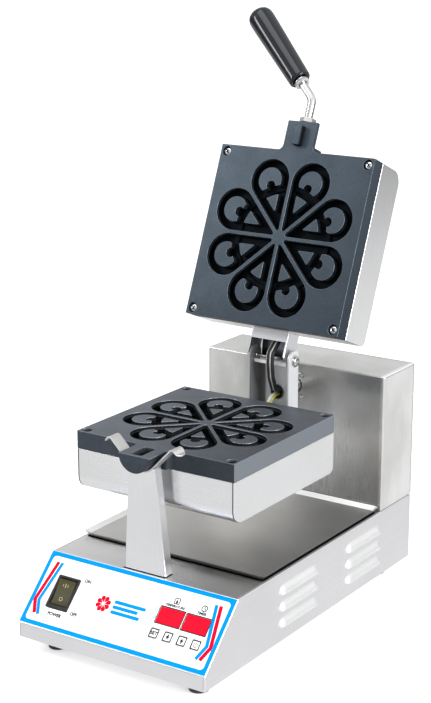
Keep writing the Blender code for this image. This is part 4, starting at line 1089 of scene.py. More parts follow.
# thermometer and clock above the windows, window frames, two indicator circles
printed("print_icons",
        [[rrect(52.6, 60.0, 66.9, 74.3, 1.4), rrect(53.65, 58.95, 67.95, 73.25, 0.7)],
         [circle(56.3, 69.4, 1.45, 20)], [rrect(55.7, 56.9, 69.5, 72.7, 0.4, 3)],
         [circle(91.6, 70.5, 3.9), circle(91.6, 70.5, 2.75)],
         ribbon([(91.6, 72.8), (91.6, 70.4), (93.5, 69.5)], 1.0)], INK_BLACK)
width, height = WINDOW_SIZE
printed("print_window_frames",
        [[rrect(x - width / 2 - 1.2, x + width / 2 + 1.2,
                y - height / 2 - 1.3, y + height / 2 + 1.3, 0.7),
          centred(x, y, *WINDOW_SIZE, 0.5, CLEAR)] for name, x, y in WINDOWS], INK_BLACK)
printed("print_indicators", [[circle(x, y, 2.5, 28), circle(x, y, 1.8, 28)]
                             for x, y in ((36.7, 57.0), (36.5, 48.0))], INK_TEAL)

for name, x, y in WINDOWS:
    mesh = prism([centred(x, y, *WINDOW_SIZE, 0.7)], -8.0, 0.6, SLOPE, 0.25)
    piece(name + "_window", mesh, WINDOW, "base", name)

for name, x, body in KEYS:
    mesh = prism([centred(x, KEY_Y, KEY, KEY, 1.6)], -3.0, 1.2, SLOPE, 0.35)
    piece(name + "_cap", mesh, KEY_FILM, body, name)
    printed(name + "_outline", [[centred(x, KEY_Y, KEY, KEY, 1.5, -0.3),
                                 centred(x, KEY_Y, KEY, KEY, 0.8, -1.7)]],
            INK_BLACK, KEY_PRINT, body)
lettering("key_set_mark", [("SET", 45.8, KEY_Y, 3.6)], INK_BLACK, KEY_PRINT, "key_1")
printed("key_down_mark",
        [[[(63.7, KEY_Y - 2.9), (66.1, KEY_Y + 0.9), (61.3, KEY_Y + 0.9)]],
         [rrect(62.9, 64.5, KEY_Y + 0.8, KEY_Y + 3.2, 0.2, 2)]], INK_BLACK, KEY_PRINT, "key_2")
printed("key_up_mark",
        [[[(81.7, KEY_Y + 2.9), (79.3, KEY_Y - 0.9), (84.1, KEY_Y - 0.9)]],
         [rrect(80.9, 82.5, KEY_Y - 3.2, KEY_Y - 0.8, 0.2, 2)]], INK_BLACK, KEY_PRINT, "key_3")
printed("key_start_mark",
        [[arc(99.5, KEY_Y - 0.3, 2.7, 115, 425, 30) + arc(99.5, KEY_Y - 0.3, 2.0, 425, 115, 30)],
         [rrect(99.15, 99.85, KEY_Y - 0.2, KEY_Y + 3.1, 0.2, 2)]], INK_BLACK, KEY_PRINT, "key_4")

# mains switch: bevelled bezel, deep pocket, smoked rocker with raised marks
SWITCH_X, SWITCH_Y = SWITCH[:2]
ROCKER_Y = SWITCH_Y + 0.8
bezel = prism([centred(*SWITCH, 1.6)], 0.3, 2.2, SLOPE, 0.7, 4)
body_block = prism([centred(SWITCH_X, SWITCH_Y, 26.4, 35.4, 0.8)], -24.0, 1.5, SLOPE, 0.4, 2)
pocket = prism([centred(SWITCH_X, ROCKER_Y, 23.6, 30.8, 0.5)], -10.5, 6, SLOPE, 0)
funnel = new()
capped(funnel, [ring(funnel, centred(SWITCH_X, ROCKER_Y, 25.8, 33.0, 0.9), 2.6, SLOPE),
                ring(funnel, centred(SWITCH_X, ROCKER_Y, 23.4, 30.6, 0.5), 0.9, SLOPE)])
piece("switch_bezel", cut(join(bezel, body_block), pocket, funnel), BLACK, "base",
      "switch_housing")
rocker_frame = SLOPE @ place(SWITCH_X, ROCKER_Y, 0) @ Matrix.Rotation(radians(8.0), 4, "X")
profile = [(-14.6, 2.6), (-13.8, -3.0), (-6.0, -7.2), (6.0, -7.2), (13.8, -3.0), (14.6, 2.6)]
profile += [(14.6 - 29.2 * i / 20, 2.6 - 1.9 * (1 - ((i - 10) / 10) ** 2) ** 0.8)
            for i in range(1, 20)]      # dished top
piece("rocker_cap", prism([profile], -11.4, 11.4, rocker_frame @ YZX, 0.35), ROCKER, "switch",
      "rocker_switch")
mesh = prism([rrect(-0.45, 0.45, 5.6, 10.4, 0.3, 3)], 1.2, 1.75, rocker_frame, 0.0)
prism([circle(0, -7.6, 2.3), circle(0, -7.6, 1.6)], 1.0, 1.75, rocker_frame, 0.0, into=mesh)
for x in (-3.2, 3.2):
    prism([rrect(x - 0.25, x + 0.25, 6.4, 9.6, 0.2, 2)], 1.2, 1.7, rocker_frame, 0.0, into=mesh)
piece("rocker_marks", mesh, INK_PALE, "switch", weighted=False)

# ================================================================== drip tray
tray_lo, tray_hi = box_mm("drip_tray")
FLARE = 5.0         # from the foot of the wall to the rim
foot = rrect(tray_lo.x + FLARE, tray_hi.x - FLARE, tray_lo.y + FLARE, tray_hi.y - FLARE, 2.6, 8)
low, top = tray_lo.z, tray_hi.z
profile = [(2.4, low), (1.0, low + 0.02), (0.25, low + 0.35), (-0.35, low + 0.95),
           (-4.35, top - 0.85), (-4.85, top - 0.35), (-4.98, top - 0.12), (-4.75, top),
           (-4.35, top - 0.02), (-3.85, top - 0.42), (0.55, low + 1.55), (1.25, low + 1.12),
           (2.4, low + 1.0)]
pan_mesh = new()
lift(pan_mesh, foot, profile, XY, True, True)
# a thin black strip on the deck under the pan's rim: painted shadow of the gap under the rim
piece("tray_rim_shadow", prism([offset(foot, -1.9), offset(foot, 1.5)], DECK + 0.02, DECK + 0.3, XY,
                         0.05, 1), SHADOW_BLACK, "base")
pan = piece("tray_pan", pan_mesh, STEEL_TRAY, "tray", "drip_tray", angle=50)
# the pan's left and rear rims in the lighter steel: painted highlight
repaint(pan, STEEL_RIM_HIGHLIGHT, lambda at, normal: (
    (at.x < tray_lo.x + FLARE - 0.2 or at.y > tray_hi.y - FLARE + 0.2)
    and (normal.z > 0.05 or at.z > top - 0.9)))

# ================================================================== cradle post, sprung strip
POST_Y0, POST_Y1 = -159.0, -164.0       # front of the post at its foot and its top
POST_Z0, POST_Z1 = DECK + 0.3, 222.5
lean = atan2(POST_Y0 - POST_Y1, POST_Z1 - POST_Z0)
frame = place(0, POST_Y0, POST_Z0, Matrix.Rotation(lean, 4, "X"))
post_length = (POST_Z1 - POST_Z0) / cos(lean)
post = new()
rows = []
for k in range(25):
    t = k / 24
    section = u_section(27.8 + (17.2 - 27.8) * t, 13.0, 1.5, 2.6)
    rows.append(ring(post, section, 0.6 + (post_length - 0.6) * t, frame))
capped(post, rows)
saddle = cylinder(20.6 + 1.9, -200, -120, place(0, 0, AXIS_Z, TO_REAR), 72)
vee = prism([[(-60, AXIS_Z + 28.3), (-15.8, AXIS_Z - 15.9), (15.8, AXIS_Z - 15.9),
              (60, AXIS_Z + 28.3), (60, AXIS_Z + 200), (-60, AXIS_Z + 200)]], 120, 200, XZY, 0)
post = cut(post, saddle, vee, bevel=0.3)
# a thin black strip at the foot of the post: painted shadow under it
foot_shadow = box(-28.5, 28.5, POST_Y0 - 0.7, POST_Y0 + 13.0, DECK + 0.02, DECK + 0.28)
piece("post_foot_shadow", foot_shadow, SHADOW_BLACK, "base")
piece("cradle_post_channel", post, STEEL_POST, "base", "cradle_post")

# strip: an arc under the lug, two arms at 45 degrees, lips turned outwards and down
strip_lo, strip_hi = box_mm("cradle_strip")
STRIP_R, STRIP_HALF_T, STRIP_EDGE = 21.4, 0.8, 0.5
arm = [Vector((STRIP_R * ROOT_HALF, 0, AXIS_Z - STRIP_R * ROOT_HALF))]
for x, z, length in ((ROOT_HALF, ROOT_HALF, 37.0), (ROOT_HALF, -ROOT_HALF, 8.4), (0.97, -0.24, 3.6)):
    arm.append(arm[-1] + Vector((x, 0, z)) * length)
right = bend(arm, 3.2)[1:]
middle = [Vector((STRIP_R * cos(radians(a)), 0, AXIS_Z + STRIP_R * sin(radians(a))))
          for a in range(-135, -44, 5)]
left = [Vector((-point.x, 0, point.z)) for point in right[::-1]]
path = resample(left + middle + right, 0.9)
runs = lengths(path)
half_width = (strip_hi.y - strip_lo.y) / 2
strip_y = (strip_lo.y + strip_hi.y) / 2
mesh, rows = new(), []
for point, tangent, run in zip(path, tangents(path), runs):
    normal = Vector((-tangent.z, 0, tangent.x))
    to_end = min(run, runs[-1] - run)
    half = half_width
    if to_end <= half_width * 0.9:      # rounded ends
        t = (to_end + 0.4) / (half_width * 0.9 + 0.4)
        half = half_width * sqrt(max(1 - (1 - t) ** 2.0, 0.02))
    r, t = STRIP_EDGE, STRIP_HALF_T
    section = [(half, -t + r), (half, t - r), (half - 0.15, t - 0.15), (half - r, t),
               (-half + r, t), (-half + 0.15, t - 0.15), (-half, t - r), (-half, -t + r),
               (-half + 0.15, -t + 0.15), (-half + r, -t), (half - r, -t),
               (half - 0.15, -t + 0.15)]
    rows.append([mesh.verts.new(point + Vector((0, strip_y + y, 0)) + normal * z)
                 for y, z in section])
piece("cradle_saddle", capped(mesh, rows), STEEL_STRIP, "base", "cradle_strip",
      angle=50)

# ================================================================== moulded plates
HEAD_R, HEAD_C = 25.6, 72.3         # round head of a petal, its distance from the middle
RIB, TIP_R = 2.0, 2.2               # half the rib between petals, radius at the petal's tip
CHANNEL = 10.3                      # width of the channel inside a petal
BAR_R0, BAR_R1 = 52.5, 63.5         # cross channel between the two islands
KNOB_R, KNOB_C = 5.7, 65.5          # round bay in the outer island
CAVITY, LEDGE, LEDGE_W = 12.0, 3.6, 0.55
PLATE_MID = (PLATE_Y0 + PLATE_Y1) / 2
SCREWS = {"front_left": (-96.5, PLATE_Y0 + 8.0), "front_right": (96.5, PLATE_Y0 + 8.0),
          "rear_right": (96.5, PLATE_Y1 - 8.0), "rear_left": (-96.5, PLATE_Y1 - 8.0)}
# (inset, height) walls down from the face, of a petal and of an island
PETAL_WALL = [(-0.42, 0), (-0.24, -0.05), (-0.09, -0.17), (0, -0.42), (0.01, -0.85),
              (0.05, -LEDGE), (LEDGE_W * 0.6, -LEDGE - 0.12), (LEDGE_W, -LEDGE - 0.5),
              (LEDGE_W + 0.25, -CAVITY + 1.1), (LEDGE_W + 0.55, -CAVITY + 0.45),
              (LEDGE_W + 1.2, -CAVITY)]
ISLAND_WALL = [(0.40, 0), (0.22, -0.05), (0.08, -0.17), (0, -0.42), (-0.02, -0.85),
               (-0.10, -LEDGE), (-0.35, -CAVITY + 1.0), (-0.6, -CAVITY + 0.4), (-1.1, -CAVITY)]
POCKET_RIM = [(-0.35, 0), (-0.12, -0.08), (0, -0.35)]


def crossing(radius, centre):
    """Where the circle BAR_R1 meets one about (centre, 0): angles there at both centres."""
    x = (BAR_R1 ** 2 - radius ** 2 + centre ** 2) / (2 * centre)
    y = sqrt(BAR_R1 ** 2 - x ** 2)
    return degrees(atan2(y, x)), degrees(atan2(y, x - centre))


def petal(index):
    """Outline of a petal, of its outer and of its inner island, counter-clockwise."""
    tip = (RIB + TIP_R) / sin(radians(22.5))
    outline = arc(HEAD_C, 0, HEAD_R, -112.5, 112.5, 60) + arc(tip, 0, TIP_R, 112.5, 247.5, 14)
    inner = HEAD_R - CHANNEL
    bar_head, head = crossing(inner, HEAD_C)
    bar_knob, knob = crossing(KNOB_R, KNOB_C)
    outer_island = arc(HEAD_C, 0, inner, -head, head, 40)
    outer_island += arc(0, 0, BAR_R1, bar_head, bar_knob, 6)[1:]
    outer_island += arc(KNOB_C, 0, KNOB_R, knob, -knob, 18)[1:]
    outer_island += arc(0, 0, BAR_R1, -bar_knob, -bar_head, 6)[1:-1]
    inset = RIB + CHANNEL
    spread = 22.5 - degrees(asin(inset / BAR_R0))
    base = arc(0, 0, BAR_R0, -spread, spread, 12)
    inner_island = rounded([(inset / sin(radians(22.5)), 0.0, 0.8), (*base[0], 0.8)]
                           + [(x, y, 0) for x, y in base[1:-1]] + [(*base[-1], 0.8)], 4)
    return [turned(loop, index, 0, PLATE_MID) for loop in (outline, outer_island, inner_island)]


def smooth_loop(loop, radius):
    """Rounds only the sharp corners of a dense loop."""
    out = []
    for i in range(len(loop)):
        here = Vector(loop[i])
        before, after = Vector(loop[i - 1]) - here, Vector(loop[(i + 1) % len(loop)]) - here
        if before.angle(after) > radians(150):
            out.append(tuple(here))
            continue
        reach = min(radius, before.length * 0.45, after.length * 0.45)
        first, last = here + before.normalized() * reach, here + after.normalized() * reach
        for j in range(4):
            t = j / 3
            out.append(tuple(first.lerp(here, t).lerp(here.lerp(last, t), t)))
    return out


def cross_bar():
    """Raised floor of the cross channel, in the frame of a petal."""
    inner, outer = 58.2, BAR_R1 + 0.6
    spread = radians(22.5) - asin((RIB - 0.3) / outer)
    angles = [-spread + 2 * spread * i / 16 for i in range(17)]
    points = [(outer * cos(a), outer * sin(a)) for a in angles]
    angles = [spread - 2 * spread * i / 16 for i in range(17)]
    return points + [(inner * cos(a), inner * sin(a)) for a in angles]


def plate(face, back, upper):
    """Plate with its moulded face at z=face; back (+1 or -1) is the way its back lies."""
    frame = place(0, 0, face) @ Matrix.Diagonal((1, 1, -back, 1))     # z up out of the face
    mesh = new()
    lug = 20.6
    outline = rounded([(-PLATE_HALF, PLATE_Y0, 0.7), (-lug, PLATE_Y0, 6.0), (-lug, LUG_Y, 1.2),
                       (lug, LUG_Y, 1.2), (lug, PLATE_Y0, 6.0), (PLATE_HALF, PLATE_Y0, 0.7),
                       (PLATE_HALF, PLATE_Y1, 0.7), (-PLATE_HALF, PLATE_Y1, 0.7)], 8)
    wall = [(0.45, 0), (0.26, -0.05), (0.10, -0.18), (0.0, -0.45), (0.0, -0.9),
            (0, -PLATE_T + 0.4), (0.1, -PLATE_T + 0.12), (0.4, -PLATE_T)]
    first, bottom = lift(mesh, outline, wall, frame)
    tops = [first]
    for k in range(8):
        outer, outer_island, inner_island = petal(k)
        first, last = lift(mesh, outer, PETAL_WALL, frame)
        tops.append(first)
        floor_rings = [last]
        for island in (smooth_loop(outer_island, 0.8), inner_island):
            floor_rings.append(lift(mesh, island, ISLAND_WALL, frame, cap_first=True)[1])
        fill(mesh, floor_rings)
    pockets = [(circle(x, y, 6.2, 40), [(0, -4.4), (0.1, -4.5)]) for x, y in SCREWS.values()]
    if not upper:       # takes the upper plate's key
        pockets.append((rrect(-7.2, 7.2, -172.5, -145.5, 2.2, 8),
                        [(0.2, -8.9), (0.5, -9.5), (1.0, -9.7)]))
    for loop, bottom_profile in pockets:
        tops.append(lift(mesh, loop, POCKET_RIM + bottom_profile, frame, cap_last=True)[0])
    fill(mesh, tops)
    fill(mesh, [bottom])
    # the lug is turned to the journal radius outside the plate
    away = [(-50, face + back * 30), (-50, face - back * 2), (-20.0, face - back * 2)]
    away += [(-20.0 * cos(pi * i / 48), face + back * 20.0 * sin(pi * i / 48)) for i in range(49)]
    away += [(20.0, face - back * 2), (50, face - back * 2), (50, face + back * 30)]
    mesh = cut(mesh, prism([away], -PLATE_Y0 + 6.2, -LUG_Y + 10, XZY, 0))
    if upper:
        key = prism([rrect(-5.2, 5.2, -170.9, -146.5, 2.4, 8)], face - 8.2, face + 1.0, XY, 1.2, 4)
        hole = cylinder(5.3, -5, 14.5, place(0, LUG_Y, face + 10.0, TO_REAR))
        mesh = cut(join(mesh, key), hole)
    for k in range(8):
        prism([turned(cross_bar(), k, 0, PLATE_MID)], -CAVITY - 0.5, -9.4, frame, 0.35, 2,
              into=mesh)

    def inside(p):
        return (hypot(p.x, p.y - PLATE_MID) < 98.7
                or any(hypot(p.x - x, p.y - y) < 6.7 for x, y in SCREWS.values())
                or (not upper and abs(p.x) < 7.7 and -173.2 < p.y < -144.8))

    # painted shade: darker with depth below the face, inside the moulds, screw holes and key pocket
    def recess(p):
        depth = max((p.z - face) * back, 0.0)
        return min(max((depth - 0.12) / 0.7, 0.0), 1.0) if inside(p) else 0.0

    # painted highlight on the rims, fainter on the plate's outer edge and at the ledges
    def lit_edge(p):
        depth = (p.z - face) * back
        if 0.02 < depth < 0.5:
            return 1.0 if inside(p) else 0.55
        return 0.22 if abs(depth - LEDGE) < 0.2 and inside(p) else 0.0

    bmesh.ops.remove_doubles(mesh, verts=mesh.verts[:], dist=1e-4)
    for name, value in (("recess", recess), ("lit_edge", lit_edge)):
        layer = mesh.verts.layers.float.new(name)
        for vert in mesh.verts:
            vert[layer] = value(vert.co)
    return mesh


lower = piece("lower_mould", plate(AXIS_Z, -1, False), COAT_LOW, "carrier", "lower_plate",
              angle=32)
# the front flank of the lower plate in the darker copy: painted shade
repaint(lower, COAT_FRONT_SHADE, lambda at, normal: (
    at.z < AXIS_Z - 0.3 and normal.z < 0.5
    and (at.y < PLATE_Y0 - 2.0 or (at.y < PLATE_Y0 + 1.0 and normal.y < -0.6))))
upper = piece("upper_mould", moved(plate(UPPER_FACE, 1, True), LID), COAT_UP, "lid",
              "upper_plate", angle=32)
repaint(upper, COAT_SHADE, lambda at, normal: (
    (CLOSE @ at).z < UPPER_FACE - 0.2
    and (normal.x > 0.55 or (CLOSE.to_3x3() @ normal).y > 0.55)))

for name, (x, y) in SCREWS.items():
    # the lower heads are black: painted shade in their counterbores
    piece("lower_head_" + name, cross_screws([place(x, y, AXIS_Z - 4.3)], 5.0, 2.5, -18.0), SHADOW_BLACK,
          "carrier", "lower_screw_" + name)
    seat = LID @ place(x, y, UPPER_FACE + 4.3) @ Matrix.Rotation(pi, 4, "X")
    head = piece("upper_head_" + name, cross_screws([seat], 5.0, 2.9, -18.0), CHROME, "lid",
                 "upper_screw_" + name)
    from_seat = seat.inverted()
    # the cross recess of each upper head painted near black: painted shade
    repaint(head, GROOVE_SHADE, lambda at, normal: (
        hypot(*(from_seat @ at).xy) < 3.5 and 0.05 < (from_seat @ at).z < 2.9 * 0.78))


def cover(near, sign):
    """Hollow sheet cover behind a plate, open towards it."""
    far = near + sign * COVER_DEPTH
    outline = rounded([(PLATE_Y0, near, 0.4), (PLATE_Y0, far, 16.5), (PLATE_Y1, far, 8.0),
                       (PLATE_Y1, near, 0.4)], 14)
    mesh = folded(outline, PLATE_HALF, 0.9, groove=0.75, gap=0.05, wide=1.3)
    y0, y1 = PLATE_Y0 + SHEET, PLATE_Y1 - SHEET
    mouth, floor = near - sign * 5, far - sign * SHEET
    hollow = rounded([(y0, mouth, 0), (y0, floor, 15.3), (y1, floor, 6.8), (y1, mouth, 0)], 14)
    return cut(mesh, prism([hollow], -PLATE_HALF + SHEET, PLATE_HALF - SHEET, YZX, 0))


# faces in the seam groove beside each end, painted near black: painted shade in the groove
def in_groove(at, normal):
    return PLATE_HALF - 2.27 < abs(at.x) < PLATE_HALF - 0.93


WIRE_X, WIRE_Z = -6.0, 203.0        # where the wires enter the lower cover
hole = cylinder(7.0, -20, 20, place(WIRE_X, PLATE_Y1, WIRE_Z, TO_REAR))
case = piece("lower_case", cut(cover(AXIS_Z - PLATE_T - 0.3, -1), hole), STEEL_COVER, "carrier",
             "lower_cover")
repaint(case, GROOVE_SHADE, in_groove)
hole = cylinder(7.0, -20, 20, place(6.6, PLATE_Y1, UPPER_FACE + 40.0, TO_REAR))
case = piece("upper_case", moved(cut(cover(UPPER_FACE + PLATE_T + 0.3, 1), hole), LID),
             STEEL_COVER_UP, "lid", "upper_cover")
repaint(case, GROOVE_SHADE, in_groove)

# ================================================================== shaft, channel upright
channel_lo, channel_hi = box_mm("channel_bracket")
CH_X0, CH_X1 = channel_lo.x, channel_hi.x
CH_Y0, CH_Y1 = 86.2, channel_hi.y       # front edges and rear wall of the channel
GROMMET_X, GROMMET_Z = 3.5, AXIS_Z + 1.5
mesh = lathe([(8.5, CH_Y1 + .3), (23.2, CH_Y1 + .3), (24.0, CH_Y1 + 1.1), (24.0, CH_Y1 + 4.5),
              (23.2, CH_Y1 + 5.3), (12.2, CH_Y1 + 5.3), (11.0, CH_Y1 + 6.5), (11.0, 207.2),
              (10.2, 208.0), (8.5, 208.0)], place(0, 0, AXIS_Z, TO_REAR), 64)
piece("hollow_shaft", mesh, ZINC, "carrier", "turn_shaft")

section = [(x + (CH_X0 + CH_X1) / 2, CH_Y1 - y)
           for x, y in u_section((CH_X1 - CH_X0) / 2, 40, 2.0, 2.6, 8)]
side_view = rounded([(CH_Y1 + 5, 170, 0), (CH_Y1 + 5, 276.5, 0), (CH_Y1 - 2.0, 276.5, 0),
                     (CH_Y1 - 2.0, 280, 0), (CH_Y1, 283, 3), (CH_Y1, 296.0, 9),
                     (CH_Y0, 296.0, 9), (CH_Y0, 224, 0), (PLATE_Y1 + .3, 212, 0),
                     (PLATE_Y1 + .3, 170, 0)], 8)
channel = boolean(prism([section], 179.0, 296.2, XY, 0), "INTERSECT",
                  prism([side_view], CH_X0 - 5, CH_X1 + 5, YZX, 0))
open_top = box(CH_X0 + 2.0, CH_X1 - 2.0, CH_Y0 - 5, CH_Y1 + 5, 276.5, 310)
foot = box(CH_X0, CH_X1, PLATE_Y1 + .3, PLATE_Y1 + 2.3, 179.0, 212.2)
PIN = place(0, HINGE.y, HINGE.z, TO_RIGHT)      # z along the hinge pin
GROMMET = place(GROMMET_X, 0, GROMMET_Z, TO_REAR)
channel = cut(cut(join(channel, foot), open_top), cylinder(8.0, 100, 120, GROMMET, 36),
              cylinder(3.8, -50, 50, PIN, 28),
              cylinder(7.2, -8, 8, place(WIRE_X, PLATE_Y1, WIRE_Z, TO_REAR), 28), bevel=0.35)
piece("channel_upright", channel, STEEL_CHANNEL, "carrier", "channel_bracket")

mesh = lathe([(6.8, CH_Y1 - 3.5), (8.2, CH_Y1 - 3.6), (8.9, CH_Y1 - 3.2), (9.0, CH_Y1 - 2.7),
              (8.6, CH_Y1 - 2.25), (7.65, CH_Y1 - 2.2), (7.6, CH_Y1 - 0.35),
              (6.9, CH_Y1 - 0.3)], GROMMET, 40)
piece("wire_grommet", mesh, RUBBER, "carrier", "cable_grommet")

# ================================================================== lid bracket and hinge
BRACKET_Y, BRACKET_HALF = PLATE_Y1 + 0.3, 25.5
BRACKET_Z0, BRACKET_Z1 = UPPER_FACE + 27.8, UPPER_FACE + 52.5
ear = rounded([(BRACKET_Y, BRACKET_Z0, 0), (BRACKET_Y + 30.5, BRACKET_Z0, 3.0),
               (HINGE.y + 5.8, HINGE.z - 4.2, 2.0), (HINGE.y + 7.0, HINGE.z + 4.0, 3.0),
               (HINGE.y + 1.0, BRACKET_Z1, 4.0), (BRACKET_Y, BRACKET_Z1, 0)], 7)
section = [(x, BRACKET_Z0 + y) for x, y in u_section(BRACKET_HALF, 60, 2.0, 2.4, 8)]
bracket = boolean(prism([section], -130, -BRACKET_Y, XZY, 0), "INTERSECT",
                  prism([ear], -BRACKET_HALF - 5, BRACKET_HALF + 5, YZX, 0))
# opening in the web of the U
bracket = cut(bracket, box(-BRACKET_HALF + 2.0, BRACKET_HALF - 2.0, BRACKET_Y + 12.5,
                           BRACKET_Y + 42, BRACKET_Z0 - 8, BRACKET_Z0 + 2.6))
wall = [(BRACKET_Y, BRACKET_Z0 + 0.5), (BRACKET_Y + 2.0, BRACKET_Z0 + 0.5),
        (BRACKET_Y + 2.0, BRACKET_Z1 - 0.2), (BRACKET_Y, BRACKET_Z1 - 0.2)]
bracket = join(bracket, prism([wall], -BRACKET_HALF + 0.5, BRACKET_HALF - 0.5, YZX, 0))
bracket = cut(bracket, box(-9, 18, BRACKET_Y - 4, BRACKET_Y + 6, UPPER_FACE + 32, UPPER_FACE + 49))
bracket = cut(bracket, cylinder(3.8, -50, 50, PIN, 28), bevel=0.35)
ob = piece("lid_bracket", moved(bracket, LID), STEEL_BRACKET, "lid", "hinge_bracket")
# the inner face of the left ear in dark steel: painted shade
repaint(ob, STEEL_DARK, lambda at, normal: at.x < -20 and normal.x > 0.8)
# two sheets laid out with the lid open: a strip below the pin, painted lighter as a highlight, and one behind
# the cable, painted with bands of shade and light
strip = [(92.9, 276.9), (94.2, 276.9), (94.4, 280.8), (93.1, 280.8)]
piece("bracket_stop_strip", prism([strip], -20.4, BRACKET_HALF - 2.2, YZX, 0.25, 2), STEEL_RIM_HIGHLIGHT,
      "lid")
sheet = [(112.0, 302.0), (108.6, 279.4), (109.7, 279.3), (113.1, 301.8)]
piece("bracket_inner_sheet", prism([sheet], -20.4, BRACKET_HALF - 2.2, YZX, 0.15, 1), STEEL_SHADE,
      "lid")

mesh = lathe([(0, -33.0), (2.9, -33.0), (3.45, -32.4), (3.45, -20.6), (3.2, -20.3), (2.2, -19.6),
              (2.2, 22.4), (3.2, 23.1), (3.45, 23.4), (3.45, CH_X1 + .3), (6.9, CH_X1 + .3),
              (7.1, CH_X1 + 0.5), (7.1, CH_X1 + 1.1), (6.9, CH_X1 + 1.3), (5.6, CH_X1 + 1.3),
              (5.5, CH_X1 + 2.6), (4.6, CH_X1 + 3.5), (2.6, CH_X1 + 3.8), (2.2, CH_X1 + 3.2),
              (0, CH_X1 + 3.0)], PIN)
piece("hinge_bolt", mesh, CHROME, "carrier", "hinge_pin")
mesh = prism([circle(0, 0, 6.6, 6), circle(0, 0, 3.8, 24)], -31.0, -25.8, PIN, 0.5, 3, 0.2)
piece("hinge_hex_nut", mesh, ZINC, "carrier", "hinge_nut", angle=30)
mesh = lathe([(3.8, 25.8), (5.3, 25.8), (5.6, 26.1), (5.6, CH_X1 - 2.6), (5.3, CH_X1 - 2.3),
              (3.8, CH_X1 - 2.3)], PIN, 36)
piece("hinge_bush", mesh, ZINC, "carrier", "hinge_spacer")


# ================================================================== cables
def braid(angle, run):
    pitch, turns, depth = 2.2, 6, 0.16
    a, b = turns * angle / 2, run * pi / pitch
    return depth * abs(sin(a + b) * sin(a - b)) - 0.03


core = resample(bend([(GROMMET_X + 1.8, CH_Y1 + .2, GROMMET_Z + 3.0),
                      (GROMMET_X + 1.8, 98.5, GROMMET_Z + 3.4), (5.6, 90.0, 262.0),
                      (6.6, 86.2, 280.0), (6.6, 87.2, 292.0), (6.6, 104.0, 305.5),
                      (6.6, 106.2, 312.0)], 7.0), 0.55)
# across, up, radius, look
SLEEVES = ((-2.6, 0.0, 2.15, SLEEVE), (2.3, 0.0, 2.15, SLEEVE),
           (-0.15, -1.25, 0.75, SLEEVE_PALE), (-4.75, -0.5, 0.6, SLEEVE_PALE))
for i, (across, up, radius, look) in enumerate(SLEEVES):
    mesh = tube(strand(core, across, up, 0.0016), radius, 18, braid)
    ob = piece("lid_sleeve_%d" % (i + 1), mesh, look, None, None if i else "lid_cable",
               angle=70)
    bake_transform(ob)

core = resample(bend([(GROMMET_X - 1.4, CH_Y1 + .2, GROMMET_Z - 3.2),
                      (GROMMET_X - 1.4, 98.5, GROMMET_Z - 3.8), (-6.0, 85.0, 209.0),
                      (WIRE_X, 64.0, WIRE_Z), (WIRE_X, 50.0, WIRE_Z)], 8.0), 1.0)
WIRES = ((-2.5, 0.3, 1.5, WIRE_WHITE), (0.5, 1.4, 1.5, WIRE_WHITE),
         (-0.3, -1.9, 1.5, WIRE_WHITE), (3.0, -0.2, 1.2, WIRE_EARTH))
for i, (across, up, radius, look) in enumerate(WIRES):
    piece("plate_wire_%d" % (i + 1), tube(strand(core, across, up, 0.02), radius, 14), look,
          "carrier", None if i else "lower_wires")

# ================================================================== handle
ROD_Z = UPPER_FACE + 10.0
CRANK = Vector((0, PLATE_Y1 - 274.7, ROD_Z))        # corner of the rod
aim = Vector((-ROOT_HALF, -ROOT_HALF, 0))
path = resample(bend([(0, LUG_Y + 14.0, ROD_Z), CRANK, CRANK + aim * 60.0], 14.0, 14), 1.2)
piece("crank_rod", moved(tube(path, 5.0, 40), LID), ROD_CHROME, "lid", "handle_rod")
frame = axis_frame((0, LUG_Y - 0.3, ROD_Z), (0, LUG_Y - 6.2, ROD_Z))
mesh = prism([circle(0, 0, 9.8, 6), circle(0, 0, 5.3)], 0.0, 5.9,
             frame @ Matrix.Rotation(radians(30), 4, "Z"), 0.8, 4, 0.3)
piece("lug_hex_nut", moved(mesh, LID), ZINC, "lid", "lug_nut", angle=30)
frame = axis_frame(CRANK, CRANK + aim)
mesh = prism([circle(0, 0, 9.0, 6), circle(0, 0, 5.3)], 24.0, 28.4, frame, 0.7, 4, 0.3)
lathe([(5.3, 28.3), (8.4, 28.3), (8.8, 28.6), (8.8, 29.9), (8.4, 30.5), (5.3, 30.5)],
      frame, 40, into=mesh)
piece("grip_hex_nut", moved(mesh, LID), CHROME, "lid", "grip_nut", angle=30)
# (radius, distance from the corner of the rod), from the tip back into the bore
GRIP = [(0.0, 145.0), (3.0, 144.9), (6.0, 144.5), (9.0, 143.7), (11.5, 142.4), (13.4, 140.6),
        (14.6, 138.4), (15.3, 136.0), (15.65, 133.0), (15.7, 129.0), (15.55, 118.0),
        (15.2, 104.0), (14.75, 88.0), (14.3, 70.0), (13.85, 52.0), (13.5, 38.5), (13.35, 35.0),
        (13.3, 33.6), (13.0, 32.2), (12.4, 31.3), (11.6, 31.0), (10.2, 31.0), (9.4, 31.5),
        (8.9, 32.6), (8.6, 36.0), (6.4, 38.0), (6.2, 60.0), (5.5, 61.5), (0.0, 61.5)]


def fluted(radius, z, angle):
    """Twelve shallow flutes along the outside of the grip."""
    if 36.0 < z < 134.0 and radius > 12.0:
        radius -= 0.22 * max(0.0, cos(12 * angle)) ** 6
    return radius


piece("grip_handle", moved(lathe(GRIP, frame, 96, shape=fluted), LID), GLOSS, "lid",
      "handle_grip", angle=60)

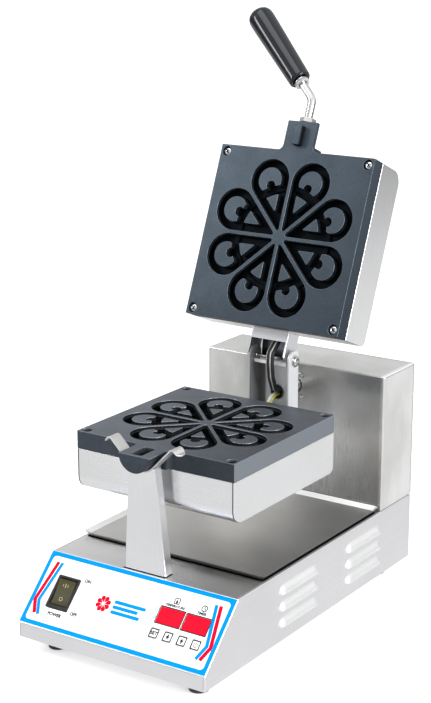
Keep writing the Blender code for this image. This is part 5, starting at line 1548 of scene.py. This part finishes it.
# ================================================================== stage
mesh = new()
bmesh.ops.create_grid(mesh, x_segments=8, y_segments=8, size=30.0)
data = bpy.data.meshes.new("floor")
mesh.to_mesh(data)
mesh.free()
floor = bpy.data.objects.new("floor", data)
scene.collection.objects.link(floor)
floor.location.z = -0.0002
paper = Shader("floor_paper")
cloud = paper.noise(3.0)
paper.set({"Base Color": paper.ramp(cloud, (0.3, 0.93), (0.7, 0.95)),
           "Emission Color": paper.ramp(cloud, (0.3, 0.98), (0.7, 1.0)),
           "Emission Strength": 0.38, "Roughness": 0.9, "Specular IOR Level": 0.1})
data.materials.append(paper.material)
floor.visible_glossy = False
floor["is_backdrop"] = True

# ================================================================== world: white to the camera
scene.world = bpy.data.worlds.new("studio")
sky = Nodes(scene.world)
output = sky.add("OutputWorld")
direction = sky.add("SeparateXYZ", {0: sky.add("TexCoord").outputs["Generated"]}).outputs
# a white table below, a grey band round the horizon, soft light from above
tone = sky.ramp(sky.span(direction["Z"], (-1.0, 1.0), to=(0.0, 1.0)),
                (0.0, 0.88), (0.390, 0.92), (0.42, 0.52), (0.45, 0.22), (0.52, 0.22),
                (0.58, 0.50), (0.64, 0.80), (0.80, 0.80), (1.0, 0.85))
# brighter towards the upper right
reflector = sky.math("MULTIPLY", sky.span(direction["X"], (0.0, 0.45), to=(0.0, 0.65)),
                     sky.span(direction["Z"], (0.05, 0.30), to=(0.0, 1.0)))
studio = sky.add("Background", {"Color": tone, "Strength": sky.math("ADD", reflector, 1.0)})
white = sky.add("Background", {"Color": (1, 1, 1, 1), "Strength": 1.02})
seen = sky.add("LightPath").outputs["Is Camera Ray"]
both = sky.add("MixShader", {0: seen, 1: studio.outputs[0], 2: white.outputs[0]})
sky.feed(output, {0: both.outputs[0]})


# ================================================================== lights
def softbox(name, at, to, size, power):
    light = bpy.data.lights.new(name, "AREA")
    light.shape = "RECTANGLE"
    light.size, light.size_y = size
    light.energy = power
    light.color = (1, 1, 1)
    ob = bpy.data.objects.new(name, light)
    scene.collection.objects.link(ob)
    ob.location = Vector(at) + MID
    ob.rotation_euler = (Vector(to) - Vector(at)).to_track_quat("-Z", "Y").to_euler()


softbox("key", at=(3.0, -0.6, 1.1), to=(0, 0, 0.25), size=(1.2, 1.6), power=95)
softbox("strip_left", at=(-2.0, -1.4, 1.2), to=(0, 0, 0.5), size=(0.35, 1.8), power=26)
softbox("top", at=(-0.3, -0.6, 2.8), to=(0, 0, 0.2), size=(1.6, 1.6), power=22)

# ================================================================== camera
AZIMUTH, ELEVATION = radians(33.87), radians(15.3)      # to the right of the front, above level
camera = bpy.data.cameras.new("camera")
camera_ob = bpy.data.objects.new("camera", camera)
scene.collection.objects.link(camera_ob)
backward = Vector((sin(AZIMUTH) * cos(ELEVATION), -cos(AZIMUTH) * cos(ELEVATION), sin(ELEVATION)))
rightward = Vector((cos(AZIMUTH), sin(AZIMUTH), 0))
pose = Matrix((rightward, backward.cross(rightward), backward)).transposed().to_4x4()
pose.translation = Vector((1.0296, -1.5540, 0.8232)) + MID
camera_ob.matrix_world = pose
camera.sensor_fit = "AUTO"
camera.sensor_width = 36.0
camera.lens = 87.21422475
camera.clip_end = 100.0
scene.camera = camera_ob
scene.view_settings.view_transform = "Standard"
scene.view_settings.look = "None"
scene.view_settings.exposure = 0.0
scene.view_settings.gamma = 1.0

lo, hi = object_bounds()
